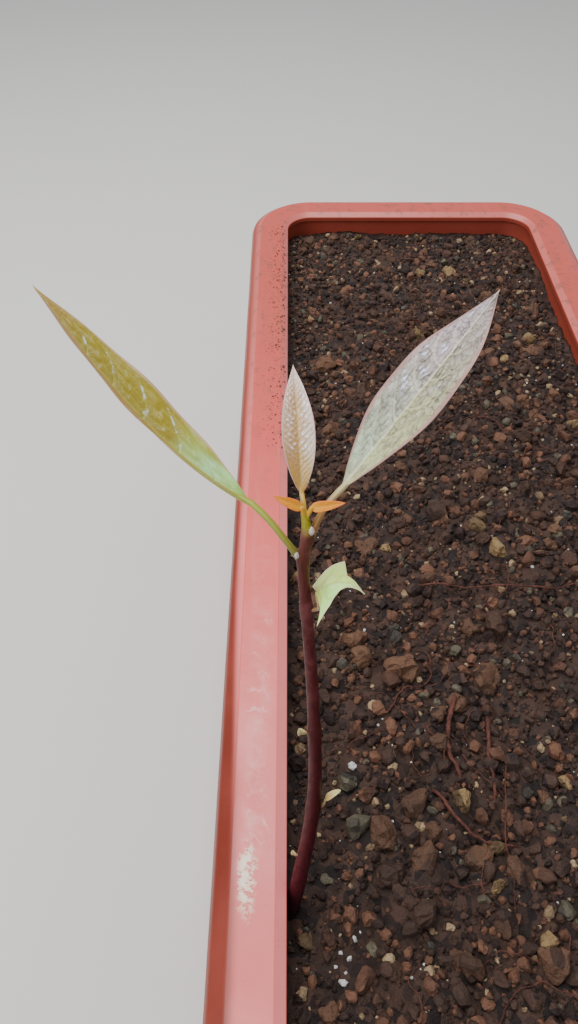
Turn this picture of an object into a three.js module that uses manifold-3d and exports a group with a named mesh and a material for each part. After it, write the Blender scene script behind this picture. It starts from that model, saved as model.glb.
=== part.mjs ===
// Avocado seedling in a long plastic planter filled with soil.
// Millimetres, +Z up. The origin is the centre of the planter's flat underside, +Y runs along the
// planter and +X across it. The seedling stands close to the long rim on the -X side.

import * as THREE from "three";
import { mergeVertices } from "three/addons/utils/BufferGeometryUtils.js";
import Module from "manifold-3d";

const wasm = await Module();
wasm.setup();

// Planter
const PLANTER_LENGTH = 650;
const PLANTER_WIDTH = 230;
const PLANTER_HEIGHT = 185;
const CORNER_RADIUS = 44;
const SMALLEST_CORNER = 6;
const CORNER_STEPS = 6;
const WALL = 3;
const FLOOR = 4;
const FOOT_EDGE = 3;
const FOOT_BAND = 13;
const BAND_STEP = 1.5;
const COLLAR_HEIGHT = 32;
const WALL_INSET_TOP = 20;
const WALL_INSET_FOOT = 32;
const RIM_WIDTH = 26.4;
const RIM_THICKNESS = 3;
const RIM_SKIRT = 16;
const SKIRT_THICKNESS = 2.5;
const OUTER_SHOULDER = 7;
const OUTER_SHOULDER_DROP = 5;
const INNER_SHOULDER = 4;
const INNER_SHOULDER_DROP = 2.5;
const LIP_DEPTH = 5.5;
const DRAIN_RADIUS = 3;
const DRAIN_SIDES = 12;
const DRAIN_ROWS = [-38, 38];
const DRAINS_PER_ROW = 5;
const DRAIN_PITCH = 110;

// Soil
const SOIL_BELOW_RIM = 16;
const SOIL_GAP = 0.3;
const SOIL_ALONG = 62;
const SOIL_ACROSS = 20;
const SOIL_SWELL = 2.4;
const SOIL_FLAT_EDGE = 0.18;
const SOIL_FULL_SWELL = 0.6;
const SWELL_WAVES = { x: 23, y: 41, slantX: 31, slantY: 67, slantShare: 0.6, shift: 1 };
const CLOD_HEIGHT = 2.4;
const CLOD_SPAN = 38;
const CLOD_DRIFT = { x: 17, y: 23, bend: 1.2 };
const CLOD_FLAT_EDGE = 0.08;
const CLOD_FULL_HEIGHT = 0.24;

// Stem: its foot on the soil, and control points of its centre line measured from that foot
const STEM_FOOT = [-87, -173.1];
const CLEARANCE = 0.3;
const STEM_PATH = [
  [0, 0, CLEARANCE],
  [3.2, 6.1, 23.2],
  [6.7, 15.6, 58.7],
  [5.7, 26.7, 100],
  [3.2, 36, 134.7],
  [2.5, 39.4, 147],
  [3.4, 41.6, 153.6],
  [2.7, 45.3, 157.6],
];
const STEM_FOOT_RADIUS = 2.8;
const STEM_NECK_RADIUS = 1.4;
const STEM_TIP_RADIUS = 0.95;
const STEM_TAPER = 1.25;
const STEM_NECK_HEIGHT = 153;
const STEM_RINGS = 34;
const STEM_SIDES = 12;
const NODE_SWELLING = 0.3;
const NODE_REACH = 2.6;
const HALVINGS = 30;

// Heights of the nodes that carry a leaf or a bud, above the soil
const LEFT_NODE = 147;
const RIGHT_NODE = 153.2;
const TIP_NODE = 156.7;
const PALE_NODE = 132;
const UPPER_BUD_NODE = 88;
const MIDDLE_BUD_NODE = 54;
const LOWER_BUD_NODE = 31;

// Leaf blades: how the section closes towards the margin, the petiole and the tip
const BLADE_FULLNESS = 0.5;
const PETIOLE_BLEND = 2.5;
const KEEL = 0.7;
const MIDRIB_TAPER = 0.75;
const SMALLEST_HALF_WIDTH = 0.25;

// Leaves. Points are measured from the stem's foot on the soil. base and tip end the midrib, arch and
// sweep bow it towards the upper face and towards the leaf's right, and lean moves the bow towards the
// base. face turns the upper face about the midrib, and the folds lift each half above it. baseShape
// and tipShape are the powers that round the blade off at its two ends, and rake sets its margins
// forward of the midrib.
const LEAVES = {
  leaf_left: {
    node: LEFT_NODE,
    petiole: [[-2, 43.5, 149.7], [-5.8, 47.8, 151.8]],
    base: [-10.5, 52.5, 153.4],
    tip: [-67.5, 99.8, 185.2],
    petioleRadius: 0.85,
    thickness: 1,
    arch: -4,
    sweep: -1.9,
    lean: 0.43,
    face: 22,
    foldLeft: 36,
    foldRight: 34,
    halfWidth: 8.6,
    baseShape: 0.88,
    tipShape: 1.12,
    colour: 0xa8963a,
  },
  leaf_right: {
    node: RIGHT_NODE,
    petiole: [[7.1, 46.3, 156.9], [9.6, 49.4, 158.2]],
    base: [11.4, 51.3, 159],
    tip: [53.3, 97.3, 185.6],
    petioleRadius: 0.85,
    thickness: 1,
    arch: 3,
    sweep: 2.7,
    lean: -0.6,
    face: -12,
    foldLeft: 9,
    foldRight: 10,
    halfWidth: 9.7,
    baseShape: 1.15,
    tipShape: 1.35,
    colour: 0xb9a9a0,
  },
  leaf_centre: {
    node: null,
    petiole: [[2.5, 47.2, 158.6]],
    base: [2.1, 49.5, 159.5],
    tip: [0, 76.5, 177.6],
    petioleRadius: 0.6,
    thickness: 0.7,
    arch: 3.2,
    sweep: -0.2,
    lean: 0,
    face: 1,
    foldLeft: 24,
    foldRight: 24,
    halfWidth: 4.4,
    baseShape: 0.88,
    tipShape: 1.2,
    colour: 0xc39b78,
  },
  young_leaf_left: {
    node: TIP_NODE,
    petiole: [],
    base: [1.5, 44.8, 158.9],
    tip: [-4.9, 46.6, 162],
    petioleRadius: 0.45,
    thickness: 0.5,
    arch: 0.3,
    sweep: 0,
    lean: 0,
    face: -42,
    foldLeft: 15,
    foldRight: 15,
    halfWidth: 1.7,
    baseShape: 0.25,
    tipShape: 0.8,
    colour: 0xe08a3c,
  },
  young_leaf_right: {
    node: TIP_NODE,
    petiole: [],
    base: [4.3, 44.7, 158.9],
    tip: [12.3, 45, 161.3],
    petioleRadius: 0.45,
    thickness: 0.5,
    arch: 0.3,
    sweep: 0,
    lean: 0,
    face: 42,
    foldLeft: 15,
    foldRight: 15,
    halfWidth: 1.7,
    baseShape: 0.25,
    tipShape: 0.8,
    colour: 0xe08a3c,
  },
  pale_leaf: {
    node: PALE_NODE,
    petiole: [[5.8, 35.2, 134.5]],
    base: [5.9, 36.5, 137.6],
    tip: [17.8, 34.9, 138.8],
    petioleRadius: 0.5,
    thickness: 0.6,
    arch: 2.9,
    sweep: 0.7,
    lean: -0.14,
    face: -38,
    foldLeft: 24,
    foldRight: -46,
    halfWidth: 9.4,
    baseShape: 0.45,
    tipShape: 1.48,
    rake: -0.33,
    colour: 0xdfe3a8,
  },
  bud_leaf_upper: {
    node: UPPER_BUD_NODE,
    petiole: [],
    base: [2.9, 22.6, 88.3],
    tip: [1.9, 22.4, 91.9],
    petioleRadius: 0.45,
    thickness: 0.5,
    arch: 0.4,
    sweep: 0,
    lean: 0,
    face: 0,
    foldLeft: 20,
    foldRight: 20,
    halfWidth: 1,
    baseShape: 0.5,
    tipShape: 0.6,
    colour: 0xe6dc96,
  },
  bud_leaf_middle: {
    node: MIDDLE_BUD_NODE,
    petiole: [[9.7, 14.8, 56.2]],
    base: [10.2, 15.2, 58.6],
    tip: [14.9, 16.8, 62.2],
    petioleRadius: 0.4,
    thickness: 0.5,
    arch: 0.6,
    sweep: 0,
    lean: 0,
    face: 0,
    foldLeft: 25,
    foldRight: 25,
    halfWidth: 1.2,
    baseShape: 0.5,
    tipShape: 0.7,
    colour: 0xe6e1a0,
  },
  bud_leaf_lower: {
    node: LOWER_BUD_NODE,
    petiole: [],
    base: [1, 7.6, 31.6],
    tip: [0.2, 7.8, 35.6],
    petioleRadius: 0.4,
    thickness: 0.5,
    arch: 0.3,
    sweep: 0,
    lean: 0,
    face: 0,
    foldLeft: 15,
    foldRight: 15,
    halfWidth: 0.8,
    baseShape: 0.5,
    tipShape: 0.6,
    colour: 0xd9c06a,
  },
};
const LARGE_BLADE = { stations: 18, petioleSteps: 5, sides: 12 };
const SMALL_BLADE = { stations: 9, petioleSteps: 3, sides: 8 };
const LARGE_FROM_HALF_WIDTH = 4;

// Resting buds in the axils of the two large leaves
const BUDS = {
  bud_left: { height: 148.6, towards: [-1, -0.5], radius: 0.55, length: 1.9 },
  bud_right: { height: 154.6, towards: [0.6, -1], radius: 0.6, length: 2.2 },
};
const BUD_WIDTH_SEGMENTS = 8;
const BUD_HEIGHT_SEGMENTS = 6;

const SOIL_LEVEL = PLANTER_HEIGHT - SOIL_BELOW_RIM;
const radians = THREE.MathUtils.degToRad;
const UP = new THREE.Vector3(0, 0, 1);

const finish = (colour, roughness) =>
  new THREE.MeshStandardMaterial({ color: colour, roughness, metalness: 0 });

// A closed body through rings of equal point count, with a fan over its first and its last ring.
// Points run counterclockwise round the direction in which the rings advance.
function skin(rings) {
  const count = rings[0].length;
  const points = rings.flat();
  const faces = [];
  for (let i = 0; i + 1 < rings.length; i++) {
    for (let j = 0; j < count; j++) {
      const a = i * count + j;
      const b = i * count + ((j + 1) % count);
      faces.push(a, b, b + count, a, b + count, a + count);
    }
  }
  const lastStart = (rings.length - 1) * count;
  const middles = [middle(rings[0]), middle(rings.at(-1))];
  const firstMiddle = points.length;
  points.push(...middles);
  for (let j = 0; j < count; j++) {
    const next = (j + 1) % count;
    faces.push(firstMiddle, next, j);
    faces.push(firstMiddle + 1, lastStart + j, lastStart + next);
  }
  const geometry = new THREE.BufferGeometry().setFromPoints(points);
  geometry.setIndex(faces);
  geometry.computeVertexNormals();
  return geometry;
}

function middle(ring) {
  const sum = new THREE.Vector3();
  ring.forEach((point) => sum.add(point));
  return sum.divideScalar(ring.length);
}

// A level ring in the shape of a rounded rectangle, counterclockwise from above.
function roundedRing(halfX, halfY, radius, z) {
  const corners = [
    [1, 1, 0],
    [-1, 1, 90],
    [-1, -1, 180],
    [1, -1, 270],
  ];
  const ring = [];
  corners.forEach(([signX, signY, from]) => {
    const centreX = signX * (halfX - radius);
    const centreY = signY * (halfY - radius);
    for (let k = 0; k <= CORNER_STEPS; k++) {
      const angle = radians(from + (90 * k) / CORNER_STEPS);
      const x = centreX + radius * Math.cos(angle);
      const y = centreY + radius * Math.sin(angle);
      ring.push(new THREE.Vector3(x, y, z));
    }
  });
  return ring;
}

function planterRing(inset, z) {
  const radius = Math.max(CORNER_RADIUS - inset, SMALLEST_CORNER);
  return roundedRing(PLANTER_WIDTH / 2 - inset, PLANTER_LENGTH / 2 - inset, radius, z);
}

// How far the wall's outer face lies in from the rim's edge at a height.
function wallInset(z) {
  return THREE.MathUtils.mapLinear(z, 0, PLANTER_HEIGHT, WALL_INSET_FOOT, WALL_INSET_TOP);
}

// The same for the wall's inner face, which runs straight from the floor's chamfer to the rim.
function innerInset(z) {
  return wallInset(z) + WALL;
}

function asSolid(geometry) {
  const bare = geometry.clone();
  bare.deleteAttribute("normal");
  bare.deleteAttribute("uv");
  const merged = mergeVertices(bare);
  const mesh = new wasm.Mesh({
    numProp: 3,
    vertProperties: new Float32Array(merged.attributes.position.array),
    triVerts: new Uint32Array(merged.index.array),
  });
  return new wasm.Manifold(mesh);
}

function asGeometry(solid) {
  const mesh = solid.getMesh();
  const geometry = new THREE.BufferGeometry();
  geometry.setAttribute("position", new THREE.BufferAttribute(mesh.vertProperties, 3));
  geometry.setIndex(new THREE.BufferAttribute(mesh.triVerts, 1));
  geometry.computeVertexNormals();
  return geometry;
}

// The tub: up the outside, over the rim and its turned-down skirt, and down the inside.
function planterGeometry() {
  const top = PLANTER_HEIGHT;
  const bandTop = top - COLLAR_HEIGHT;
  const shoulder = top - OUTER_SHOULDER_DROP;
  const underRim = top - RIM_THICKNESS;
  const skirtFoot = top - RIM_SKIRT;
  const lipFoot = top - LIP_DEPTH;
  const profile = [
    [WALL_INSET_FOOT + FOOT_EDGE, 0],
    [WALL_INSET_FOOT, FOOT_EDGE],
    [wallInset(FOOT_BAND), FOOT_BAND],
    [wallInset(FOOT_BAND) + BAND_STEP, FOOT_BAND + BAND_STEP],
    [wallInset(bandTop) + BAND_STEP, bandTop - BAND_STEP],
    [wallInset(bandTop), bandTop],
    [wallInset(underRim), underRim],
    [OUTER_SHOULDER, underRim],
    [SKIRT_THICKNESS, shoulder - SKIRT_THICKNESS / 2],
    [SKIRT_THICKNESS, skirtFoot],
    [0, skirtFoot],
    [0, shoulder - SKIRT_THICKNESS / 2],
    [SKIRT_THICKNESS / 2, shoulder + SKIRT_THICKNESS / 2],
    [OUTER_SHOULDER, top],
    [RIM_WIDTH - INNER_SHOULDER, top],
    [RIM_WIDTH, top - INNER_SHOULDER_DROP],
    [RIM_WIDTH, lipFoot],
    [innerInset(lipFoot - BAND_STEP), lipFoot - BAND_STEP],
    [innerInset(FLOOR + BAND_STEP), FLOOR + BAND_STEP],
    [innerInset(FLOOR) + BAND_STEP, FLOOR],
  ];
  let tub = asSolid(skin(profile.map(([inset, z]) => planterRing(inset, z))));
  for (const x of DRAIN_ROWS) {
    for (let k = 0; k < DRAINS_PER_ROW; k++) {
      const y = (k - (DRAINS_PER_ROW - 1) / 2) * DRAIN_PITCH;
      const drill = new THREE.CylinderGeometry(DRAIN_RADIUS, DRAIN_RADIUS, 3 * FLOOR, DRAIN_SIDES);
      drill.rotateX(Math.PI / 2).translate(x, y, 0);
      tub = tub.subtract(asSolid(drill));
    }
  }
  return asGeometry(tub);
}

// Low swells with heaved lumps on them, both flat along the walls, where the stem stands.
function soilHeight(x, y, share) {
  const calm = THREE.MathUtils.smoothstep(1 - share, SOIL_FLAT_EDGE, SOIL_FULL_SWELL);
  const wave = SWELL_WAVES;
  const crossed = Math.sin(x / wave.x + wave.shift) * Math.cos(y / wave.y);
  const slanted = wave.slantShare * Math.sin(y / wave.slantY + x / wave.slantX);
  const heaved = THREE.MathUtils.smoothstep(1 - share, CLOD_FLAT_EDGE, CLOD_FULL_HEIGHT);
  const turn = (2 * Math.PI) / CLOD_SPAN;
  const alongX = Math.sin(turn * x + CLOD_DRIFT.bend * Math.sin(y / CLOD_DRIFT.y));
  const alongY = Math.cos(turn * y + CLOD_DRIFT.bend * Math.sin(x / CLOD_DRIFT.x));
  const clods = CLOD_HEIGHT * heaved * alongX * alongY;
  return SOIL_LEVEL + SOIL_SWELL * calm * (crossed + slanted) + clods;
}

// A place on a square from -1 to 1, laid out over the planter's rounded plan.
function planPoint({ u, v }, inset) {
  const radius = Math.max(CORNER_RADIUS - inset, SMALLEST_CORNER);
  const halfX = PLANTER_WIDTH / 2 - inset;
  const halfY = PLANTER_LENGTH / 2 - inset;
  const intoX = Math.max(Math.abs(u) * halfX - (halfX - radius), 0);
  const intoY = Math.max(Math.abs(v) * halfY - (halfY - radius), 0);
  const reach = Math.hypot(intoX, intoY);
  const pull = reach > 0 ? 1 - Math.max(intoX, intoY) / reach : 0;
  return [u * halfX - Math.sign(u) * intoX * pull, v * halfY - Math.sign(v) * intoY * pull];
}

function soilGeometry() {
  const points = [];
  const faces = [];
  const places = [];
  const topInset = innerInset(SOIL_LEVEL) + SOIL_GAP;
  for (let j = 0; j <= SOIL_ALONG; j++) {
    for (let i = 0; i <= SOIL_ACROSS; i++) {
      const place = { u: (2 * i) / SOIL_ACROSS - 1, v: (2 * j) / SOIL_ALONG - 1 };
      const [x, y] = planPoint(place, topInset);
      const share = Math.max(Math.abs(place.u), Math.abs(place.v));
      places.push(place);
      points.push(new THREE.Vector3(x, y, soilHeight(x, y, share)));
    }
  }
  const columns = SOIL_ACROSS + 1;
  for (let j = 0; j < SOIL_ALONG; j++) {
    for (let i = 0; i < SOIL_ACROSS; i++) {
      const a = j * columns + i;
      faces.push(a, a + 1, a + 1 + columns, a, a + 1 + columns, a + columns);
    }
  }

  const edge = [];
  for (let i = 0; i < SOIL_ACROSS; i++) edge.push(i);
  for (let j = 0; j < SOIL_ALONG; j++) edge.push(j * columns + SOIL_ACROSS);
  for (let i = SOIL_ACROSS; i > 0; i--) edge.push(SOIL_ALONG * columns + i);
  for (let j = SOIL_ALONG; j > 0; j--) edge.push(j * columns);
  const levels = [
    { z: FLOOR + BAND_STEP + SOIL_GAP, extra: 0 },
    { z: FLOOR + SOIL_GAP, extra: BAND_STEP + SOIL_GAP },
  ];
  let upper = edge;
  for (const { z, extra } of levels) {
    const lower = edge.map((index) => {
      const [x, y] = planPoint(places[index], innerInset(z) + SOIL_GAP + extra);
      return points.push(new THREE.Vector3(x, y, z)) - 1;
    });
    for (let k = 0; k < edge.length; k++) {
      const next = (k + 1) % edge.length;
      faces.push(upper[k], lower[k], lower[next], upper[k], lower[next], upper[next]);
    }
    upper = lower;
  }
  const centre = points.push(middle(upper.map((index) => points[index]))) - 1;
  upper.forEach((index, k) => {
    faces.push(centre, upper[(k + 1) % upper.length], index);
  });
  const geometry = new THREE.BufferGeometry().setFromPoints(points);
  geometry.setIndex(faces);
  geometry.computeVertexNormals();
  return geometry;
}

const stemCurve = new THREE.CatmullRomCurve3(STEM_PATH.map((point) => new THREE.Vector3(...point)));

// The place along the stem, from 0 to 1, that lies at a height above the soil.
function stemPlace(height) {
  let low = 0;
  let high = 1;
  for (let k = 0; k < HALVINGS; k++) {
    const half = (low + high) / 2;
    if (stemCurve.getPoint(half).z < height) low = half;
    else high = half;
  }
  return low;
}

function stemRadius(height) {
  const rest = Math.max(0, 1 - height / STEM_NECK_HEIGHT);
  let radius = STEM_NECK_RADIUS + (STEM_FOOT_RADIUS - STEM_NECK_RADIUS) * rest ** STEM_TAPER;
  const tipHeight = STEM_PATH.at(-1)[2];
  const aboveNeck = THREE.MathUtils.smoothstep(height, STEM_NECK_HEIGHT, tipHeight);
  radius = THREE.MathUtils.lerp(radius, STEM_TIP_RADIUS, aboveNeck);
  const nodes = [LEFT_NODE, RIGHT_NODE, PALE_NODE, UPPER_BUD_NODE, MIDDLE_BUD_NODE];
  for (const node of nodes) {
    radius += NODE_SWELLING * (1 - aboveNeck) * Math.exp(-(((height - node) / NODE_REACH) ** 2));
  }
  return radius;
}

// Points round a centre, counterclockwise about the direction forward.
function roundRing(centre, forward, radius, sides) {
  const left = new THREE.Vector3(0, 1, 0).cross(forward).normalize();
  const back = forward.clone().cross(left).normalize();
  return Array.from({ length: sides }, (_, k) => {
    const angle = (2 * Math.PI * k) / sides;
    return centre
      .clone()
      .addScaledVector(left, radius * Math.cos(angle))
      .addScaledVector(back, radius * Math.sin(angle));
  });
}

function stemGeometry() {
  const rings = [];
  for (let k = 0; k <= STEM_RINGS; k++) {
    const place = k / STEM_RINGS;
    const centre = stemCurve.getPoint(place);
    const forward = k === 0 ? UP : stemCurve.getTangent(place);
    rings.push(roundRing(centre, forward, stemRadius(centre.z), STEM_SIDES));
  }
  return skin(rings);
}

// The point where a petiole starts, clear of the stem, and the direction in which it leaves.
function stemExit(height, target) {
  const place = stemPlace(height);
  const centre = stemCurve.getPoint(place);
  const along = stemCurve.getTangent(place);
  const out = target.clone().sub(centre);
  out.addScaledVector(along, -out.dot(along)).normalize();
  const start = centre.clone().addScaledVector(out, stemRadius(height) + NODE_SWELLING + CLEARANCE);
  return { start, out };
}

// The petiole and blade as one body: a round stalk whose section widens into a thin folded blade.
function leafGeometry(leaf) {
  const detail = leaf.halfWidth >= LARGE_FROM_HALF_WIDTH ? LARGE_BLADE : SMALL_BLADE;
  const base = new THREE.Vector3(...leaf.base);
  const tip = new THREE.Vector3(...leaf.tip);
  const axis = tip.clone().sub(base).normalize();
  const level = UP.clone().addScaledVector(axis, -UP.dot(axis)).normalize();
  const normal = level.applyAxisAngle(axis, radians(leaf.face));
  const right = axis.clone().cross(normal);
  const stalk = leaf.petiole.map((point) => new THREE.Vector3(...point));
  let exit = { start: stemCurve.getPoint(1), out: stemCurve.getTangent(1) };
  exit.start.addScaledVector(exit.out, CLEARANCE);
  if (leaf.node !== null) exit = stemExit(leaf.node, stalk[0] ?? base);

  const bladePoint = (share) => {
    const bow = 4 * share * (1 - share) * (1 + leaf.lean * (1 - 2 * share));
    return base
      .clone()
      .lerp(tip, share)
      .addScaledVector(normal, leaf.arch * bow)
      .addScaledVector(right, leaf.sweep * bow);
  };
  const spine = [];
  const stalkCurve = new THREE.CatmullRomCurve3([exit.start, ...stalk, base]);
  for (let k = 0; k < detail.petioleSteps; k++) {
    spine.push({ at: stalkCurve.getPoint(k / detail.petioleSteps), share: 0 });
  }
  for (let k = 0; k <= detail.stations; k++) {
    const share = 0.5 - 0.5 * Math.cos((Math.PI * k) / detail.stations);
    spine.push({ at: bladePoint(share), share });
  }

  const widest = leaf.baseShape / (leaf.baseShape + leaf.tipShape);
  const outline = (share) => share ** leaf.baseShape * (1 - share) ** leaf.tipShape;
  const rings = spine.map(({ at, share }, index) => {
    const before = spine[Math.max(index - 1, 0)].at;
    const after = spine[Math.min(index + 1, spine.length - 1)].at;
    const forward = index === 0 ? exit.out : after.clone().sub(before).normalize();
    const toLeft = normal.clone().cross(forward).normalize();
    const face = forward.clone().cross(toLeft);
    const stalkRadius = leaf.petioleRadius * (1 - MIDRIB_TAPER * share);
    const blade = (leaf.halfWidth * outline(share)) / outline(widest);
    const halfWidth = Math.max(blade, stalkRadius, SMALLEST_HALF_WIDTH);
    const flat = THREE.MathUtils.clamp(
      (halfWidth - stalkRadius) / (PETIOLE_BLEND * stalkRadius), 0, 1);
    const halfDepth = THREE.MathUtils.lerp(stalkRadius, leaf.thickness / 2, flat);
    const ring = [];
    for (let k = 0; k < detail.sides; k++) {
      const angle = (2 * Math.PI * k) / detail.sides;
      const across = Math.cos(angle);
      const through = Math.sin(angle);
      const fold = radians(across > 0 ? leaf.foldLeft : leaf.foldRight) * flat;
      const depth = Math.sign(through) * Math.abs(through) ** (1 - BLADE_FULLNESS * flat);
      const rake = (leaf.rake ?? 0) * flat * Math.abs(across);
      const keel = through < 0 ? flat * KEEL * stalkRadius * (1 - Math.abs(across)) ** 2 : 0;
      ring.push(
        at
          .clone()
          .addScaledVector(toLeft, halfWidth * across * Math.cos(fold))
          .addScaledVector(face, halfWidth * Math.abs(across) * Math.sin(fold))
          .addScaledVector(forward, halfWidth * rake)
          .addScaledVector(face, halfDepth * depth - keel),
      );
    }
    return ring;
  });
  return skin(rings);
}

// A bud pressed against the stem, on the side that towards gives.
function budGeometry(bud) {
  const target = stemCurve.getPoint(stemPlace(bud.height));
  target.add(new THREE.Vector3(...bud.towards, 0));
  const { start, out } = stemExit(bud.height, target);
  const geometry = new THREE.SphereGeometry(1, BUD_WIDTH_SEGMENTS, BUD_HEIGHT_SEGMENTS);
  geometry.rotateX(Math.PI / 2);
  geometry.scale(bud.radius, bud.radius, bud.length / 2);
  const centre = start.addScaledVector(out, bud.radius);
  geometry.translate(centre.x, centre.y, centre.z);
  return geometry;
}

function addPiece(group, name, geometry, material) {
  const mesh = new THREE.Mesh(geometry, material);
  mesh.name = name;
  group.add(mesh);
}

const potted = new THREE.Group();
addPiece(potted, "planter", planterGeometry(), finish(0xd98c80, 0.55));
addPiece(potted, "soil", soilGeometry(), finish(0x4a3a33, 0.95));

const seedling = new THREE.Group();
seedling.position.set(STEM_FOOT[0], STEM_FOOT[1], SOIL_LEVEL);
addPiece(seedling, "stem", stemGeometry(), finish(0x54222c, 0.45));
for (const [name, leaf] of Object.entries(LEAVES)) {
  addPiece(seedling, name, leafGeometry(leaf), finish(leaf.colour, 0.4));
}
for (const [name, bud] of Object.entries(BUDS)) {
  addPiece(seedling, name, budGeometry(bud), finish(0xe4dcdc, 0.5));
}
potted.add(seedling);

export default potted;
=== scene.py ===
"""Finishes the potted avocado seedling: its planter, soil, stem, leaves and buds."""

import math

import bmesh
import bpy
import numpy as np
from bpy.props import FloatProperty, FloatVectorProperty, IntProperty, PointerProperty
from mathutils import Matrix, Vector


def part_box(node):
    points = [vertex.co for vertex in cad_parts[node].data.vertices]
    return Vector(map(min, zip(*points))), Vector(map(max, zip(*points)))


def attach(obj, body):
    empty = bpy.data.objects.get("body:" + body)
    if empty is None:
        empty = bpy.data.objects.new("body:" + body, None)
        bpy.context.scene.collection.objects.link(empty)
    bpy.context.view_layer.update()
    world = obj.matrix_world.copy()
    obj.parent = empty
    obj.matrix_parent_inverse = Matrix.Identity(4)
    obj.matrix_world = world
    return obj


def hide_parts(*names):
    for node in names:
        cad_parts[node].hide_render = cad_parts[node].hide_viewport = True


bl_info = {
    "name": "Potted Avocado Seedling",
    "version": (1, 0, 0),
    "blender": (4, 5, 0),
    "location": "View3D > Sidebar > Seedling",
    "description": "Builds the planter, its soil and the seedling's stem and leaves",
    "category": "Add Mesh",
}

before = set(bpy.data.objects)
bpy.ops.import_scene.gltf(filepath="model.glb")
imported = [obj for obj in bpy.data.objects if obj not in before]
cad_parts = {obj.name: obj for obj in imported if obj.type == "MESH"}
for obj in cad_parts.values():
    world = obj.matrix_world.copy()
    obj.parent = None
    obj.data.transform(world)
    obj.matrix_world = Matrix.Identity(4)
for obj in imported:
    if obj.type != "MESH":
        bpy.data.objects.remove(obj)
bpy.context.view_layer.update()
PLANTER_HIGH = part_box("planter")[1]

# A millimetre in metres, the upward direction, and about a full turn in radians.
MM = 0.001
UP = np.array([0.0, 0.0, 1.0])
FULL_TURN = 6.28

# The noise of the soil repeats after this many cells, and starts far from zero.
NOISE_CELLS = 251
NOISE_START = 1000

# The drain holes, in metres: their two columns, the ends of a column, how many each has and their sides.
DRAIN_COLUMNS = (-0.038, 0.038)
DRAIN_ENDS = (-0.22, 0.22)
DRAINS_IN_COLUMN = 5
DRAIN_SIDES = 28

# The planter's wall, in millimetres: its plain bands at the foot and below the rim, how deep the panel
# between them lies, and the thickness of the rim.
FOOT_BAND = 13
TOP_BAND = 32
PANEL_DEPTH = 1.5
RIM_THICKNESS = 3

# The soil's surface, in millimetres: how far in from the rim it starts to swell, how high it swells and
# how far apart its clods lie.
SOIL_EDGE = 24
SOIL_SWELL = 2.4
CLOD_PITCH = 38

# How far in from the rim's edge the crumbs start, in millimetres, the corner radius that they keep to, and
# how far from the stem's middle their edges stay.
STREWN_INSET = 26
STREWN_CORNER = 44
STREWN_CLEAR = 3.4

# How near two stones' middles may lie, as a share of their sizes together, the size in millimetres past
# which the stones of a kind keep apart, and half a stone's height as a share of its size.
STONE_SPACING = 0.45
STONE_APART = 5
STONE_LIFT = 0.36

# The crumbs spilled on the rim: how many, where along it they start and how far they reach, and how far
# in from the rim's edge they lie and over what width, in millimetres.
DUST_COUNT = 900
DUST_START = 40
DUST_REACH = 240
DUST_INSET = 9
DUST_WIDTH = 15.5

# The camera's place in metres, its tilt from straight down in degrees, and its lens in millimetres.
CAMERA_PLACE = (-0.088, -0.2508, 0.4634)
CAMERA_TILT = 42
CAMERA_LENS = 27.07

# Half the side of the plain floor and how far it lies below the planter, in metres.
FLOOR_HALF = 4.0
FLOOR_DROP = 0.0003


# Measures of the seedling, in millimetres from the stem's foot on the soil.

STEM_FOOT = (-87.0, -173.1)
STEM_PATH = (
    (0, 0, 0.3),
    (3.2, 6.1, 23.2),
    (6.7, 15.6, 58.7),
    (5.7, 26.7, 100),
    (3.2, 36, 134.7),
    (2.5, 39.4, 147),
    (3.4, 41.6, 153.6),
    (2.7, 45.3, 157.6),
)
NECK_HEIGHT = 153
STEM_TAPER = 1.25
NODE_HEIGHTS = (147, 153.2, 132, 88, 54)
NODE_SWELLING = 0.3
NODE_REACH = 2.6

# The stem's rounded tip, as rises above it with shares of its radius, and how far its foot goes on into the
# soil and widens there.
STEM_DOME = ((0.3, 0.85), (0.5, 0.55), (0.6, 0.2))
STEM_SUNK = 3
STEM_SUNK_WIDER = 1.12

# The pale leaf's two lobes, left and right: shares of the midrib with the lobe's width and how far its
# edge lies ahead of that place.
PALE_LOBES = (
    (
        (0, 0, 0),
        (0.06, 4.2, -2.7),
        (0.2, 7.5, -0.9),
        (0.45, 9.2, 1.1),
        (0.5, 5.0, 1.1),
        (0.56, 3.1, 0.7),
        (0.75, 1.9, 0.7),
        (1, 0, 0),
    ),
    (
        (0, 0, 0),
        (0.05, 2.0, -0.8),
        (0.14, 6.0, -2.0),
        (0.25, 10.6, -4.8),
        (0.4, 6.1, -1.6),
        (0.56, 2.6, -0.6),
        (0.7, 1.4, -0.6),
        (1, 0, 0),
    ),
)

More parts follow.
